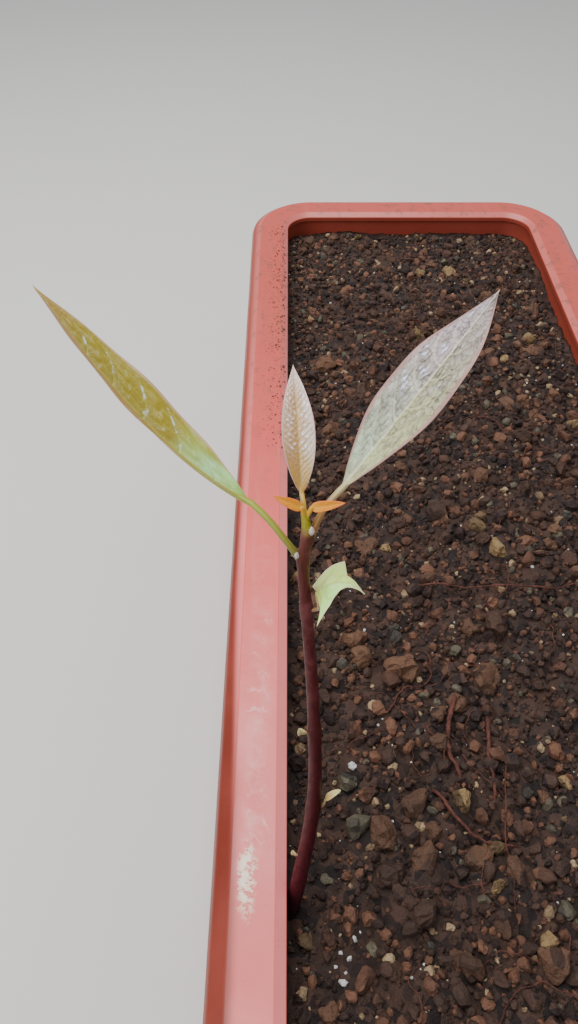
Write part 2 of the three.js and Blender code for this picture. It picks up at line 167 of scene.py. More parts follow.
# Each leaf: where it leaves the stem, its stalk, the ends of its midrib, and how the blade bows, turns,
# folds and closes. A node of None is the stem's tip.
LEAVES = {
    "leaf_left": dict(
        node=147, petiole=((-2, 43.5, 149.7), (-5.8, 47.8, 151.8)), base=(-10.5, 52.5, 153.4),
        tip=(-67.5, 99.8, 185.2), stalk=0.85, arch=-4, sweep=-1.9, lean=0.43, face=22,
        fold=(36, 34), half_width=8.6, base_shape=0.88, tip_shape=1.12,
    ),
    "leaf_right": dict(
        node=153.2, petiole=((7.1, 46.3, 156.9), (9.6, 49.4, 158.2)), base=(11.4, 51.3, 159),
        tip=(53.3, 97.3, 185.6), stalk=0.85, arch=3, sweep=2.7, lean=-0.6, face=-12,
        fold=(9, 10), half_width=9.7, base_shape=1.15, tip_shape=1.35,
    ),
    "leaf_centre": dict(
        node=None, petiole=((2.5, 47.2, 158.6),), base=(2.1, 49.5, 159.5),
        tip=(0, 76.5, 177.6), stalk=0.6, arch=3.2, sweep=-0.2, lean=0, face=1,
        fold=(24, 24), half_width=4.4, base_shape=0.88, tip_shape=1.2,
    ),
    "young_leaf_left": dict(
        node=156.7, petiole=(), base=(2.1, 45.1, 159.4),
        tip=(-4.9, 46.6, 162), stalk=0.58, arch=0.3, sweep=0, lean=0, face=-42,
        fold=(15, 15), half_width=1.35, base_shape=0.3, tip_shape=0.8,
    ),
    "young_leaf_right": dict(
        node=156.7, petiole=(), base=(4.4, 45.2, 159.3),
        tip=(12.3, 45, 161.3), stalk=0.58, arch=0.3, sweep=0, lean=0, face=42,
        fold=(15, 15), half_width=1.35, base_shape=0.3, tip_shape=0.8,
    ),
    "pale_leaf": dict(
        node=132, petiole=((6.5, 34.2, 133.6), (6.4, 33.4, 136.6)), base=(5.9, 36.5, 137.6),
        tip=(17.8, 34.9, 138.8), stalk=0.5, arch=2.9, sweep=0.7, lean=-0.14, face=-38,
        fold=(24, -46), half_width=9.4, base_shape=0.45, tip_shape=1.48, lobes=PALE_LOBES,
    ),
    "bud_leaf_upper": dict(
        node=88, petiole=(), base=(2.9, 22.6, 88.3),
        tip=(1.9, 22.4, 91.9), stalk=0.45, arch=0.4, sweep=0, lean=0, face=-80,
        fold=(20, 20), half_width=1.4, base_shape=0.5, tip_shape=0.6,
    ),
    "bud_leaf_middle": dict(
        node=54, petiole=((9.7, 14.8, 56.2),), base=(10.2, 15.2, 58.6),
        tip=(14.9, 16.8, 62.2), stalk=0.4, arch=0.6, sweep=0, lean=0, face=0,
        fold=(25, 25), half_width=1.2, base_shape=0.5, tip_shape=0.7,
    ),
    "bud_leaf_lower": dict(
        node=31, petiole=(), base=(1, 7.6, 31.6),
        tip=(0.2, 7.8, 35.6), stalk=0.4, arch=0.3, sweep=0, lean=0, face=-80,
        fold=(15, 15), half_width=1.0, base_shape=0.5, tip_shape=0.6,
    ),
}

# How each kind of blade is veined and swells between its veins. The counts are of side veins and of
# the rungs between them, and quilt and rib are heights in millimetres. Waver is how unevenly the veins
# run, and calm the stretch of the blade over which the swelling sets in.
VEINS = {
    "leaf_left": dict(count=7, slant=0.19, curve=1.7, rungs=4, quilt=0.2, rib=0.1, wave=0.35),
    "leaf_right": dict(count=8, slant=0.22, curve=1.8, rungs=8, quilt=0.6, rib=-0.18, wave=0.3),
    "leaf_centre": dict(
        count=21, slant=0.1, curve=1.2, rungs=4, quilt=0.3, rib=0.05, wave=0.1,
        waver=0.22, calm=(0.08, 0.42),
    ),
    "pale_leaf": dict(count=4, slant=0.25, curve=1.3, rungs=2, quilt=0.05, rib=0.02, wave=0.1),
    "young": dict(count=5, slant=0.2, curve=1.3, rungs=2, quilt=0.03, rib=0.01, wave=0.05),
}

# The numbers that each point of a leaf keeps: its share of the way from base to tip, how close it is to a
# vein, how far it swells, how close it is to the sides of a side vein, how close it is to the margin, and
# whether it is on the underside or the stalk, with its share of the way down the stalk.
LEAF_MARKS = ("along", "vein", "swell", "beside", "margin", "under", "stalk", "down")

# On the flat plan of a blade its underside lies this far beside its face, in millimetres.
UNDERSIDE_SHIFT = 40

# Thickness of a large leaf's side veins at the midrib and width of the midrib near its base, in
# millimetres.
SIDE_VEIN_THICKNESS = 0.3
MIDRIB_WIDTH = 0.42

BUDS = {
    "bud_left": dict(height=148.6, towards=(-1, -0.5), radius=0.55, length=1.9),
    "bud_right": dict(height=154.6, towards=(0.6, -1), radius=0.6, length=2.2),
}

# Kinds of crumb and stone on the soil: how many, their least and greatest size in millimetres, how
# strongly small ones prevail, the facets of each, and their two colours.
GRIT = {
    "crumbs_dark_fine": (8200, 0.9, 3.0, 1.2, 1, 0x4A342B, 0x241816),
    "crumbs_dark": (2300, 2.8, 7.5, 2.0, 2, 0x503A30, 0x2A1D1A),
    "crumbs_rust_fine": (4600, 0.9, 3.2, 1.3, 1, 0x75503C, 0x46302A),
    "crumbs_rust": (1150, 3.0, 8.5, 2.4, 2, 0x7A5440, 0x4A3228),
    "grit_tan_fine": (800, 0.8, 2.4, 1.3, 1, 0xB49A78, 0x7E664E),
    "grit_tan": (300, 2.2, 5.0, 1.8, 2, 0xB09674, 0x7A624A),
    "grit_grey": (330, 2.0, 6.5, 1.6, 2, 0x6A6250, 0x423C36),
    "grit_white": (330, 0.5, 1.9, 1.8, 1, 0xECEAE8, 0xC9C4C0),
    "pebbles_brown": (110, 6.5, 12.5, 1.6, 3, 0x70503C, 0x3E2C24),
    "pebbles_ochre": (26, 5.5, 10.0, 1.5, 3, 0x9C8058, 0x604C36),
}

# Stones that lie near the stem: their kind, place on the soil and size.
STONES = (
    ("pebbles_brown", -53.3, -148.0, 11.5),
    ("pebbles_brown", -38.7, -157.7, 11.0),
    ("pebbles_brown", -40.0, -137.0, 10.0),
    ("pebbles_brown", -51.5, -163.0, 9.0),
    ("pebbles_brown", -27.0, -112.0, 9.5),
    ("pebbles_ochre", -21.5, -135.6, 9.5),
    ("pebbles_ochre", 13.1, -12.8, 10.5),
    ("pebbles_ochre", 9.1, 7.4, 7.0),
    ("grit_grey", -62.1, -145.5, 10.5),
    ("grit_grey", -65.0, -128.0, 8.5),
    ("grit_grey", -74.5, -163.0, 6.5),
    ("grit_white", -63.1, -122.1, 4.0),
    ("grit_white", -70.1, -196.3, 3.2),
    ("grit_white", -65.5, -182.7, 2.6),
    ("grit_white", -70.5, -187.3, 1.6),
    ("grit_white", -67.5, -189.1, 2.2),
    ("grit_white", -72.3, -191.4, 1.4),
    ("grit_white", -69.1, -193.2, 1.8),
    ("grit_white", -63.3, -180.6, 1.2),
)

# Fine roots start on this stretch of the soil, wander by this step and stay this near its middle line,
# in millimetres.
ROOTLET_STEP = 1.1
ROOTLET_X = (-70, 75)
ROOTLET_Y = (-230, 270)
ROOTLET_EDGE = 80

# Thick roots that lie bare on the soil: the radius at their start and the places that they pass.
ROOTS = (
    (1.15, ((-17.3, -87.7), (-24.1, -112.5), (-20.2, -127.0))),
    (0.75, ((-31.7, -131.0), (-25.3, -143.2), (-17.1, -150.6), (-2.5, -151.6))),
    (0.95, ((-5.3, -99.3), (-9.9, -134.9))),
    (0.35, ((-0.7, -118.8), (-7.7, -149.8), (-7.9, -160.4), (-9.7, -175.4))),
    (0.5, ((-28.4, -33.5), (-2.7, -35.2), (39.5, -36.4), (48.5, -32.3))),
)


def paint(tone):
    """The linear values that a shader takes, of a colour code or of a colour that is set already."""
    if not isinstance(tone, int):
        return tuple(tone)
    channels = [(tone >> shift & 255) / 255 for shift in (16, 8, 0)]
    return tuple(c / 12.92 if c <= 0.04045 else ((c + 0.055) / 1.055) ** 2.4 for c in channels)


def colour(name, description, code):
    """A colour that a user may change, from its colour code."""
    return FloatVectorProperty(
        name=name, description=description, subtype="COLOR", size=3, min=0, max=1, default=paint(code)
    )


def length(name, description, default):
    """A length that a user may change, in metres."""
    return FloatProperty(
        name=name, description=description, subtype="DISTANCE", unit="LENGTH", min=0, default=default
    )


def amount(name, description, default, unit="NONE"):
    """A share, strength or power that a user may change."""
    return FloatProperty(name=name, description=description, unit=unit, min=0, default=default)


class PlanterSizes(bpy.types.PropertyGroup):
    corner: length("Corner radius", "Radius of the rim's corners in plan", 0.044)
    foot_inset: length("Foot inset", "How far the wall's foot stands in from the rim", 0.032)
    wall_inset: length("Wall inset", "How far the wall's top stands in from the rim", 0.020)
    wall: length("Wall thickness", "Thickness of the wall", 0.003)
    floor: length("Floor thickness", "Thickness of the floor", 0.004)
    rim_width: length("Rim width", "Width of the rim, seen from above", 0.0264)
    skirt: length("Skirt height", "Height of the rim's turned-down skirt", 0.016)
    drain: length("Drain radius", "Radius of the drain holes", 0.003)
    corner_steps: IntProperty(name="Corner steps", description="Faces round a corner", default=15)
    # The side colour is partly the plastic's own deeper tone and partly painted shade; the top colour is
    # partly sun fading and partly painted sky reflection.
    side: colour("Side colour", "Plastic where it faces sideways", 0x7C2610)
    top: colour("Top colour", "Plastic where daylight has faded it", 0xEC5C56)
    stain: colour("Lime colour", "Lime stains on the rim", 0xFFEBD0)


class SoilSizes(bpy.types.PropertyGroup):
    level: length("Level", "Height of the soil above the planter's underside", 0.169)
    pitch: length("Mesh pitch", "Size of a face of the soil's surface", 0.0013)
    relief: length("Relief", "Height of the crumbs in the soil", 0.0026)
    sink: amount("Sink", "Share of a stone that lies in the soil", 0.3)
    rootlets: IntProperty(name="Rootlets", description="Fine roots on the soil", default=60)
    dark: colour("Dark soil", "Moist soil", 0x1E1513)
    warm: colour("Warm soil", "Drier soil", 0x4C362C)
    root: colour("Rootlet colour", "Fine roots", 0x744438)


class StemSizes(bpy.types.PropertyGroup):
    foot: length("Foot radius", "Radius of the stem at the soil", 0.0028)
    neck: length("Neck radius", "Radius below the leaves", 0.0014)
    tip: length("Tip radius", "Radius at the stem's tip", 0.00095)
    relief: length("Relief", "Depth of the bark's fine streaks", 0.00016)
    sides: IntProperty(name="Sides", description="Faces round the stem", default=40)
    foot_colour: colour("Foot colour", "Bark at the soil", 0x241418)
    bark: colour("Bark colour", "Bark half way up", 0x461318)
    neck_colour: colour("Neck colour", "Bark below the leaves", 0x561F1A)
    tip_colour: colour("Tip colour", "Young growth at the tip", 0x8E8616)


class LeafSizes(bpy.types.PropertyGroup):
    thickness: length("Blade thickness", "Thickness of a large blade", 0.0003)
    hair: length("Hair length", "Length of the down on the buds", 0.00032)
    olive: colour("Olive", "Left leaf", 0x928200)
    # The mauve is partly the right leaf's own colour and partly painted sky reflection.
    mauve: colour("Mauve", "Right leaf", 0xA09488)
    bronze: colour("Bronze", "Centre leaf", 0xF0CAB0)
    young: colour("Young", "Leaflets at the tip", 0xE48C06)
    pale: colour("Pale", "Pale leaf", 0xE0FF84)
    down: colour("Down", "Buds in the leaf joints", 0xD8CEC8)


class StageSizes(bpy.types.PropertyGroup):
    ground: colour("Floor colour", "Plain floor", 0xE6E3DE)
    soft_light: amount("Soft light", "Power of the light above", 19, "POWER")
    side_light: amount("Side light", "Power of the light at the side", 11, "POWER")
    sky: amount("Sky", "Strength of the light all round", 0.5)


class SeedlingSizes(bpy.types.PropertyGroup):
    planter: PointerProperty(type=PlanterSizes, name="Planter", description="Sizes of the planter")
    soil: PointerProperty(type=SoilSizes, name="Soil", description="Sizes of the soil")
    stem: PointerProperty(type=StemSizes, name="Stem", description="Sizes of the stem")
    leaves: PointerProperty(type=LeafSizes, name="Leaves", description="Sizes of the leaves")
    stage: PointerProperty(type=StageSizes, name="Stage", description="Floor and lights")


# Small sums


def unit(vectors):
    """The vectors at a length of one."""
    vectors = np.asarray(vectors, float)
    return vectors / np.linalg.norm(vectors, axis=-1, keepdims=True)


def eased(values, low, high):
    """How far values are from low to high, from 0 to 1 with a soft start and end."""
    share = np.clip((np.asarray(values, float) - low) / (high - low), 0, 1)
    return share * share * (3 - 2 * share)


def turned(vector, axis, angle):
    """The vector turned about an axis that it is square to."""
    return vector * math.cos(angle) + np.cross(axis, vector) * math.sin(angle)


def curve_point(points, share):
    """A point on the smooth curve through the given ones, as the part's source runs it."""
    points = np.asarray(points, float)
    last = len(points) - 1
    step = min(int(share * last), last - 1)
    along = share * last - step
    ends = [2 * points[0] - points[1], *points, 2 * points[-1] - points[-2]]
    before, start, end, after = ends[step : step + 4]
    pairs = ((before, start), (start, end), (end, after))
    first, middle, third = (max(float(np.sum((b - a) ** 2)) ** 0.25, 1e-4) for a, b in pairs)
    leave = (start - before) / first - (end - before) / (first + middle) + (end - start) / middle
    arrive = (end - start) / middle - (after - start) / (middle + third) + (after - end) / third
    leave, arrive = leave * middle, arrive * middle
    cubic = 2 * start - 2 * end + leave + arrive
    square = -3 * start + 3 * end - 2 * leave - arrive
    return ((cubic * along + square) * along + leave) * along + start


def curve_points(points, count):
    """A number of points along the smooth curve, from its start to its end."""
    return np.array([curve_point(points, k / (count - 1)) for k in range(count)])


def stem_place(height):
    """The stem's centre and direction at a height above the soil, in millimetres."""
    low, high = 0.0, 1.0
    for _ in range(30):
        half = (low + high) / 2
        if curve_point(STEM_PATH, half)[2] < height:
            low = half
        else:
            high = half
    ahead = curve_point(STEM_PATH, min(low + 1e-3, 1))
    behind = curve_point(STEM_PATH, max(low - 1e-3, 0))
    return curve_point(STEM_PATH, low), unit(ahead - behind)


def stem_radius(height, sizes):
    """The stem's radius at a height, in millimetres, with its swelling at each leaf joint."""
    foot, neck, tip = (size / MM for size in (sizes.foot, sizes.neck, sizes.tip))
    radius = neck + (foot - neck) * max(0, 1 - height / NECK_HEIGHT) ** STEM_TAPER
    above = float(eased(height, NECK_HEIGHT, STEM_PATH[-1][2]))
    radius += (tip - radius) * above
    bumps = sum(math.exp(-(((height - node) / NODE_REACH) ** 2)) for node in NODE_HEIGHTS)
    return radius + NODE_SWELLING * (1 - above) * bumps


def stem_line(sizes):
    """The stem's centre line from below the soil to its rounded tip, with its radii, in millimetres."""
    line = curve_points(STEM_PATH, 300)
    radii = [stem_radius(point[2], sizes) for point in line]
    _, tangent = stem_place(STEM_PATH[-1][2])
    dome = [line[-1] + tangent * rise for rise, _ in STEM_DOME]
    foot = line[0] - (line[1] - line[0]) / (line[1] - line[0])[2] * STEM_SUNK
    radii = [radii[0] * STEM_SUNK_WIDER, *radii, *(radii[-1] * share for _, share in STEM_DOME)]
    return np.vstack([foot, line, dome]), np.array(radii)


def placed(points, level):
    """Places in millimetres from the stem's foot, as metres in the part's own frame."""
    return (np.asarray(points, float) + [*STEM_FOOT, level / MM]) * MM


def hills(x, y, pitch, seed):
    """Smooth seeded noise from -1 to 1 with hills about one pitch apart."""
    cells = NOISE_CELLS
    grid = np.random.default_rng(seed).uniform(-1, 1, (cells, cells))
    u, v = x / pitch + NOISE_START, y / pitch + NOISE_START
    i, j = np.floor(u).astype(int), np.floor(v).astype(int)
    a, b = u - i, v - j
    a, b = a * a * (3 - 2 * a), b * b * (3 - 2 * b)
    i, j, k, m = i % cells, j % cells, (i + 1) % cells, (j + 1) % cells
    near = grid[i, j] * (1 - a) + grid[k, j] * a
    far = grid[i, m] * (1 - a) + grid[k, m] * a
    return near * (1 - b) + far * b


def domes(x, y, pitch, seed):
    """Crumbs packed about one pitch apart: 0 between them and up to 1 on top of each."""
    cells = NOISE_CELLS
    seeded = np.random.default_rng(seed)
    shift = seeded.uniform(0, 1, (cells, cells, 2))
    tall = seeded.uniform(0.2, 1, (cells, cells))
    u, v = x / pitch + NOISE_START, y / pitch + NOISE_START
    best, height = np.full(u.shape, 9.0), np.zeros(u.shape)
    for di in (-1, 0, 1):
        for dj in (-1, 0, 1):
            i, j = np.floor(u).astype(int) + di, np.floor(v).astype(int) + dj
            wrapped = i % cells, j % cells
            away = np.hypot(i + shift[wrapped][..., 0] - u, j + shift[wrapped][..., 1] - v)
            closer = away < best
            best, height = np.where(closer, away, best), np.where(closer, tall[wrapped], height)
    return height * np.sqrt(np.clip(1 - (best / 0.8) ** 2, 0, 1))


# Meshes


def new_piece(name, mesh, slot, *nodes):
    """Shows a finished mesh as a piece of the object, in place of CAD nodes where it has any."""
    mesh.name = name
    piece = bpy.data.objects.new(name, mesh)
    bpy.context.scene.collection.objects.link(piece)
    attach(piece, "root")
    if nodes:
        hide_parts(*nodes)


def mesh_of(name, points, faces, material):
    """A smooth mesh of one material."""
    mesh = bpy.data.meshes.new(name)
    mesh.from_pydata(np.asarray(points, float).tolist(), [], faces)
    mesh.validate()
    mesh.polygons.foreach_set("use_smooth", [True] * len(mesh.polygons))
    mesh.materials.append(material)
    return mesh


def line_mesh(name, lines, thicknesses):
    """Open lines as edges, with a thickness at each point."""
    points, edges = [], []
    for line in lines:
        edges += [(len(points) + k, len(points) + k + 1) for k in range(len(line) - 1)]
        points += np.asarray(line, float).tolist()
    mesh = bpy.data.meshes.new(name)
    mesh.from_pydata(points, edges, [])
    number(mesh, "thickness", np.concatenate(thicknesses))
    return mesh


def number(mesh, name, values):
    """Keeps a number at each point of a mesh, under a name that a material or tree reads."""
    kept = mesh.attributes.new(name, "FLOAT", "POINT")
    kept.data.foreach_set("value", np.asarray(values, np.float32).ravel())


def ring_faces(rings, sides, first=0):
    """Faces of a tube whose rings run counterclockwise about its direction, closed at both ends."""
    faces = []
    for r in range(rings - 1):
        low, high = first + r * sides, first + (r + 1) * sides
        for k in range(sides):
            n = (k + 1) % sides
            faces.append((low + k, low + n, high + n, high + k))
    last = first + (rings - 1) * sides
    faces.append(tuple(first + k for k in reversed(range(sides))))
    faces.append(tuple(last + k for k in range(sides)))
    return faces


def face_outwards(mesh):
    """Merges doubled points and turns every face outwards."""
    shell = bmesh.new()
    shell.from_mesh(mesh)
    bmesh.ops.remove_doubles(shell, verts=shell.verts, dist=1e-7)
    bmesh.ops.recalc_face_normals(shell, faces=shell.faces)
    shell.to_mesh(mesh)
    shell.free()


# Geometry trees


class Tree:
    """A geometry tree that is built a node at a time."""

    def __init__(self, name, **sizes):
        self.group = bpy.data.node_groups.new(name, "GeometryNodeTree")
        kinds = {float: "NodeSocketFloat", int: "NodeSocketInt"}
        socket = self.group.interface.new_socket
        socket("Geometry", in_out="INPUT", socket_type="NodeSocketGeometry")
        for size, kind in sizes.items():
            socket(size, in_out="INPUT", socket_type=kinds[kind])
        socket("Material", in_out="INPUT", socket_type="NodeSocketMaterial")
        socket("Geometry", in_out="OUTPUT", socket_type="NodeSocketGeometry")
        self.given = self.group.nodes.new("NodeGroupInput").outputs

    def add(self, kind, *inputs, **settings):
        """Adds a node. Its inputs are fed in order, and None leaves one as it is."""
        node = self.group.nodes.new(kind)
        for name, value in settings.items():
            setattr(node, name, value)
        shown = [socket for socket in node.inputs if socket.enabled]
        for socket, value in zip(shown, inputs):
            if isinstance(value, bpy.types.NodeSocket):
                self.group.links.new(value, socket)
            elif value is not None:
                socket.default_value = value
        return next(socket for socket in node.outputs if socket.enabled)

    def maths(self, operation, first, second=None):
        return self.add("ShaderNodeMath", first, second, operation=operation)

    def vector(self, operation, *inputs):
        return self.add("ShaderNodeVectorMath", *inputs, operation=operation)

    def scaled(self, vector, factor):
        node = self.group.nodes.new("ShaderNodeVectorMath")
        node.operation = "SCALE"
        self.group.links.new(vector, node.inputs[0])
        if isinstance(factor, bpy.types.NodeSocket):
            self.group.links.new(factor, node.inputs["Scale"])
        else:
            node.inputs["Scale"].default_value = factor
        return node.outputs[0]

    def random_vector(self, least, most, seed, order=None):
        """A random vector for each point, between two others."""
        kind = "FunctionNodeRandomValue"
        return self.add(kind, least, most, order, seed, data_type="FLOAT_VECTOR")

    def named(self, attribute):
        return self.add("GeometryNodeInputNamedAttribute", attribute)

    def noise(self, at, scale, detail=2.0):
        """Noise from -0.5 to 0.5 along each axis."""
        node = self.group.nodes.new("ShaderNodeTexNoise")
        self.group.links.new(at, node.inputs["Vector"])
        node.inputs["Scale"].default_value = scale
        node.inputs["Detail"].default_value = detail
        return self.vector("SUBTRACT", node.outputs["Color"], (0.5, 0.5, 0.5))

    def end(self, geometry, smooth=True):
        """Realizes what was made, and gives it its shading and material."""
        made = self.add("GeometryNodeRealizeInstances", geometry)
        made = self.add("GeometryNodeSetShadeSmooth", made, None, smooth)
        made = self.add("GeometryNodeSetMaterial", made, None, self.given["Material"])
        self.group.links.new(made, self.group.nodes.new("NodeGroupOutput").inputs[0])
        return self

    def grow(self, start, material, **sizes):
        """The plain mesh that the tree makes from a starting mesh."""
        carrier = bpy.data.objects.new(self.group.name, start)
        bpy.context.scene.collection.objects.link(carrier)
        modifier = carrier.modifiers.new(self.group.name, "NODES")
        modifier.node_group = self.group
        sizes["Material"] = material
        for item in self.group.interface.items_tree:
            if item.in_out == "INPUT" and item.name in sizes:
                modifier[item.identifier] = sizes[item.name]
        depsgraph = bpy.context.evaluated_depsgraph_get()
        mesh = bpy.data.meshes.new_from_object(
            carrier.evaluated_get(depsgraph), preserve_all_data_layers=True, depsgraph=depsgraph
        )
        carrier.modifiers.remove(modifier)
        bpy.data.objects.remove(carrier)
        bpy.data.meshes.remove(start)
        if not mesh.polygons:
            raise RuntimeError(f"{self.group.name} made nothing")
        return mesh


def rim_tree():
    """Sweeps a wall section round a rounded rectangle."""
    tree = Tree("Swept wall", Width=float, Length=float, Corner=float, Steps=int)
    given = tree.given
    path = tree.add("GeometryNodeCurvePrimitiveQuadrilateral", given["Width"], given["Length"])
    path = tree.add("GeometryNodeFilletCurve", path, given["Steps"], given["Corner"], mode="POLY")
    path = tree.add("GeometryNodeSetCurveNormal", path, mode="Z_UP")
    section = tree.add("GeometryNodeMeshToCurve", given["Geometry"])
    return tree.end(tree.add("GeometryNodeCurveToMesh", path, section))


def tube_tree():
    """Sweeps a round section along lines, as thick as each point says, with streaks along Z."""
    tree = Tree("Streaked tube", Sides=int, Relief=float)
    given = tree.given
    path = tree.add("GeometryNodeMeshToCurve", given["Geometry"])
    ring = tree.add("GeometryNodeCurvePrimitiveCircle", given["Sides"], 1.0)
    tube = tree.add("GeometryNodeCurveToMesh", path, ring, tree.named("thickness"), True)
    place = tree.add("GeometryNodeInputPosition")
    fine = tree.noise(tree.vector("MULTIPLY", place, (1.0, 1.0, 0.12)), 1500.0)
    lumps = tree.noise(place, 260.0, 1.0)
    push = tree.scaled(tree.vector("ADD", fine, lumps), given["Relief"])
    return tree.end(tree.add("GeometryNodeSetPosition", tube, None, None, push))


def grit_tree():
    """Puts a rough stone at each point, as large as its size says, each broken in its own way."""
    tree = Tree("Rough stones", Facets=int, Roughness=float, Seed=int)
    given = tree.given
    points = tree.add("GeometryNodeMeshToPoints", given["Geometry"])
    stone = tree.add("GeometryNodeMeshIcoSphere", 0.5, given["Facets"])
    angles = tree.random_vector((0, 0, 0), (FULL_TURN, FULL_TURN, FULL_TURN), given["Seed"])
    shape = tree.random_vector((0.75, 0.75, 0.6), (1.2, 1.2, 0.95), given["Seed"], 1)
    turn = tree.add("FunctionNodeEulerToRotation", angles)
    scale = tree.scaled(shape, tree.named("size"))
    stones = tree.add("GeometryNodeInstanceOnPoints", points, None, stone, None, None, turn, scale)
    stones = tree.add("GeometryNodeRealizeInstances", stones)
    place = tree.add("GeometryNodeInputPosition")
    size = tree.named("size")
    relative = tree.scaled(place, tree.maths("DIVIDE", 1.0, size))
    rough = tree.vector("ADD", tree.noise(relative, 1.7), tree.scaled(tree.noise(relative, 5.0), 0.35))
    push = tree.scaled(rough, tree.maths("MULTIPLY", size, given["Roughness"]))
    stones = tree.add("GeometryNodeSetPosition", stones, None, None, push)
    return tree.end(stones, smooth=False)


def down_tree():
    """Grows short hairs all over a surface."""
    tree = Tree("Down", Density=float, Length=float, Seed=int)
    given = tree.given
    spots = tree.group.nodes.new("GeometryNodeDistributePointsOnFaces")
    for theirs, ours in (("Geometry", "Mesh"), ("Density", "Density"), ("Seed", "Seed")):
        tree.group.links.new(given[theirs], spots.inputs[ours])
    hair = tree.add("GeometryNodeMeshCone", 3, 1, 1, 0.0, 0.05, 1.0)
    lean = tree.random_vector((-0.5, -0.5, -0.2), (0.5, 0.5, 0.5), given["Seed"])
    aim = tree.vector("ADD", spots.outputs["Normal"], lean)
    turn = tree.add("FunctionNodeAlignRotationToVector", None, None, aim, axis="Z")
    size = tree.add("FunctionNodeRandomValue", 0.6, 1.2, None, given["Seed"], data_type="FLOAT")
    size = tree.maths("MULTIPLY", size, given["Length"])
    points = spots.outputs["Points"]
    return tree.end(tree.add("GeometryNodeInstanceOnPoints", points, None, hair, None, None, turn, size))


# Materials


class Finish:
    """A procedural material that is built a node at a time."""

    def __init__(self, name, **settings):
        self.material = bpy.data.materials.new(name)
        self.material.use_nodes = True
        self.nodes = self.material.node_tree.nodes
        self.links = self.material.node_tree.links
        self.shader = self.nodes["Principled BSDF"]
        for socket, value in settings.items():
            self.shader.inputs[socket.replace("_", " ")].default_value = value
        self.place = self.nodes.new("ShaderNodeTexCoord").outputs["Object"]

    def feed(self, socket, value):
        """Links a socket to another or sets it. A colour is a colour code or linear values."""
        if isinstance(value, bpy.types.NodeSocket):
            self.links.new(value, socket)
        elif socket.type == "RGBA":
            socket.default_value = (*paint(value), 1)
        else:
            socket.default_value = value

    def set(self, socket, value):
        self.feed(self.shader.inputs[socket], value)

    def attribute(self, name):
        node = self.nodes.new("ShaderNodeAttribute")
        node.attribute_name = name
        return node.outputs["Fac"]

    def along(self, axis, at=None):
        node = self.nodes.new("ShaderNodeSeparateXYZ")
        self.feed(node.inputs[0], at or self.place)
        return node.outputs[axis]

    def moved(self, scale, location=(0, 0, 0)):
        """The place, scaled along each axis and then moved."""
        node = self.nodes.new("ShaderNodeMapping")
        self.feed(node.inputs["Vector"], self.place)
        node.inputs["Scale"].default_value = scale
        node.inputs["Location"].default_value = location
        return node.outputs[0]

    def noise(self, scale, detail=3.0, rough=0.5, at=None):
        node = self.nodes.new("ShaderNodeTexNoise")
        self.feed(node.inputs["Vector"], at or self.place)
        for name, value in (("Scale", scale), ("Detail", detail), ("Roughness", rough)):
            node.inputs[name].default_value = value
        return node.outputs["Fac"]

    def cells(self, scale, at=None, feature="F1", output="Distance"):
        node = self.nodes.new("ShaderNodeTexVoronoi")
        node.feature = feature
        self.feed(node.inputs["Vector"], at or self.place)
        node.inputs["Scale"].default_value = scale
        return node.outputs[output]

    def wavering(self, at, scale, reach):
        """A place that noise shifts, so that what reads it runs unevenly."""
        noise = self.nodes.new("ShaderNodeTexNoise")
        self.feed(noise.inputs["Vector"], at)
        noise.inputs["Scale"].default_value = scale
        shifted = self.nodes.new("ShaderNodeVectorMath")
        shifted.operation = "MULTIPLY_ADD"
        for socket, value in zip(shifted.inputs, (noise.outputs["Color"], (reach, reach, 0), at)):
            self.feed(socket, value)
        return shifted.outputs[0]

    def level(self, source, low, high, to_low=0.0, to_high=1.0):
        """Moves a value smoothly from one range to another."""
        node = self.nodes.new("ShaderNodeMapRange")
        node.interpolation_type = "SMOOTHSTEP"
        for socket, value in zip(node.inputs, (source, low, high, to_low, to_high)):
            self.feed(socket, value)
        return node.outputs[0]

    def maths(self, operation, first, second=0.0):
        node = self.nodes.new("ShaderNodeMath")
        node.operation = operation
        self.feed(node.inputs[0], first)
        self.feed(node.inputs[1], second)
        return node.outputs[0]

    def both(self, first, second):
        return self.maths("MULTIPLY", first, second)

    def mix(self, share, first, second):
        node = self.nodes.new("ShaderNodeMix")
        node.data_type = "RGBA"
        for index, value in ((0, share), (6, first), (7, second)):
            self.feed(node.inputs[index], value)
        return node.outputs[2]

    def ramp(self, source, *stops):
        node = self.nodes.new("ShaderNodeValToRGB")
        self.feed(node.inputs[0], source)
        elements = node.color_ramp.elements
        while len(elements) < len(stops):
            elements.new(0.5)
        for element, (place, value) in zip(elements, stops):
            element.position = place
            element.color = (*paint(value), 1)
        return node.outputs[0]

    def bump(self, height, strength, distance):
        node = self.nodes.new("ShaderNodeBump")
        self.feed(node.inputs["Height"], height)
        node.inputs["Strength"].default_value = strength
        node.inputs["Distance"].default_value = distance
        self.set("Normal", node.outputs[0])


def outer_slope(finish, sizes, place_x, place_y):
    """How far down the rim's rounded outer slope a place lies. The slope is narrower far along it."""
    into_x = finish.maths("MAXIMUM", finish.maths("SUBTRACT", place_x, PLANTER_HIGH.x - sizes.corner))
    away_y = finish.maths("ABSOLUTE", place_y)
    into_y = finish.maths("MAXIMUM", finish.maths("SUBTRACT", away_y, PLANTER_HIGH.y - sizes.corner))
    squares = finish.maths("ADD", finish.both(into_x, into_x), finish.both(into_y, into_y))
    top = finish.level(place_y, -0.2, -0.02, sizes.corner - 0.0125, sizes.corner - 0.0065)
    foot = finish.level(place_y, -0.2, -0.02, sizes.corner - 0.0055, sizes.corner - 0.001)
    return finish.level(finish.maths("POWER", squares, 0.5), top, foot)


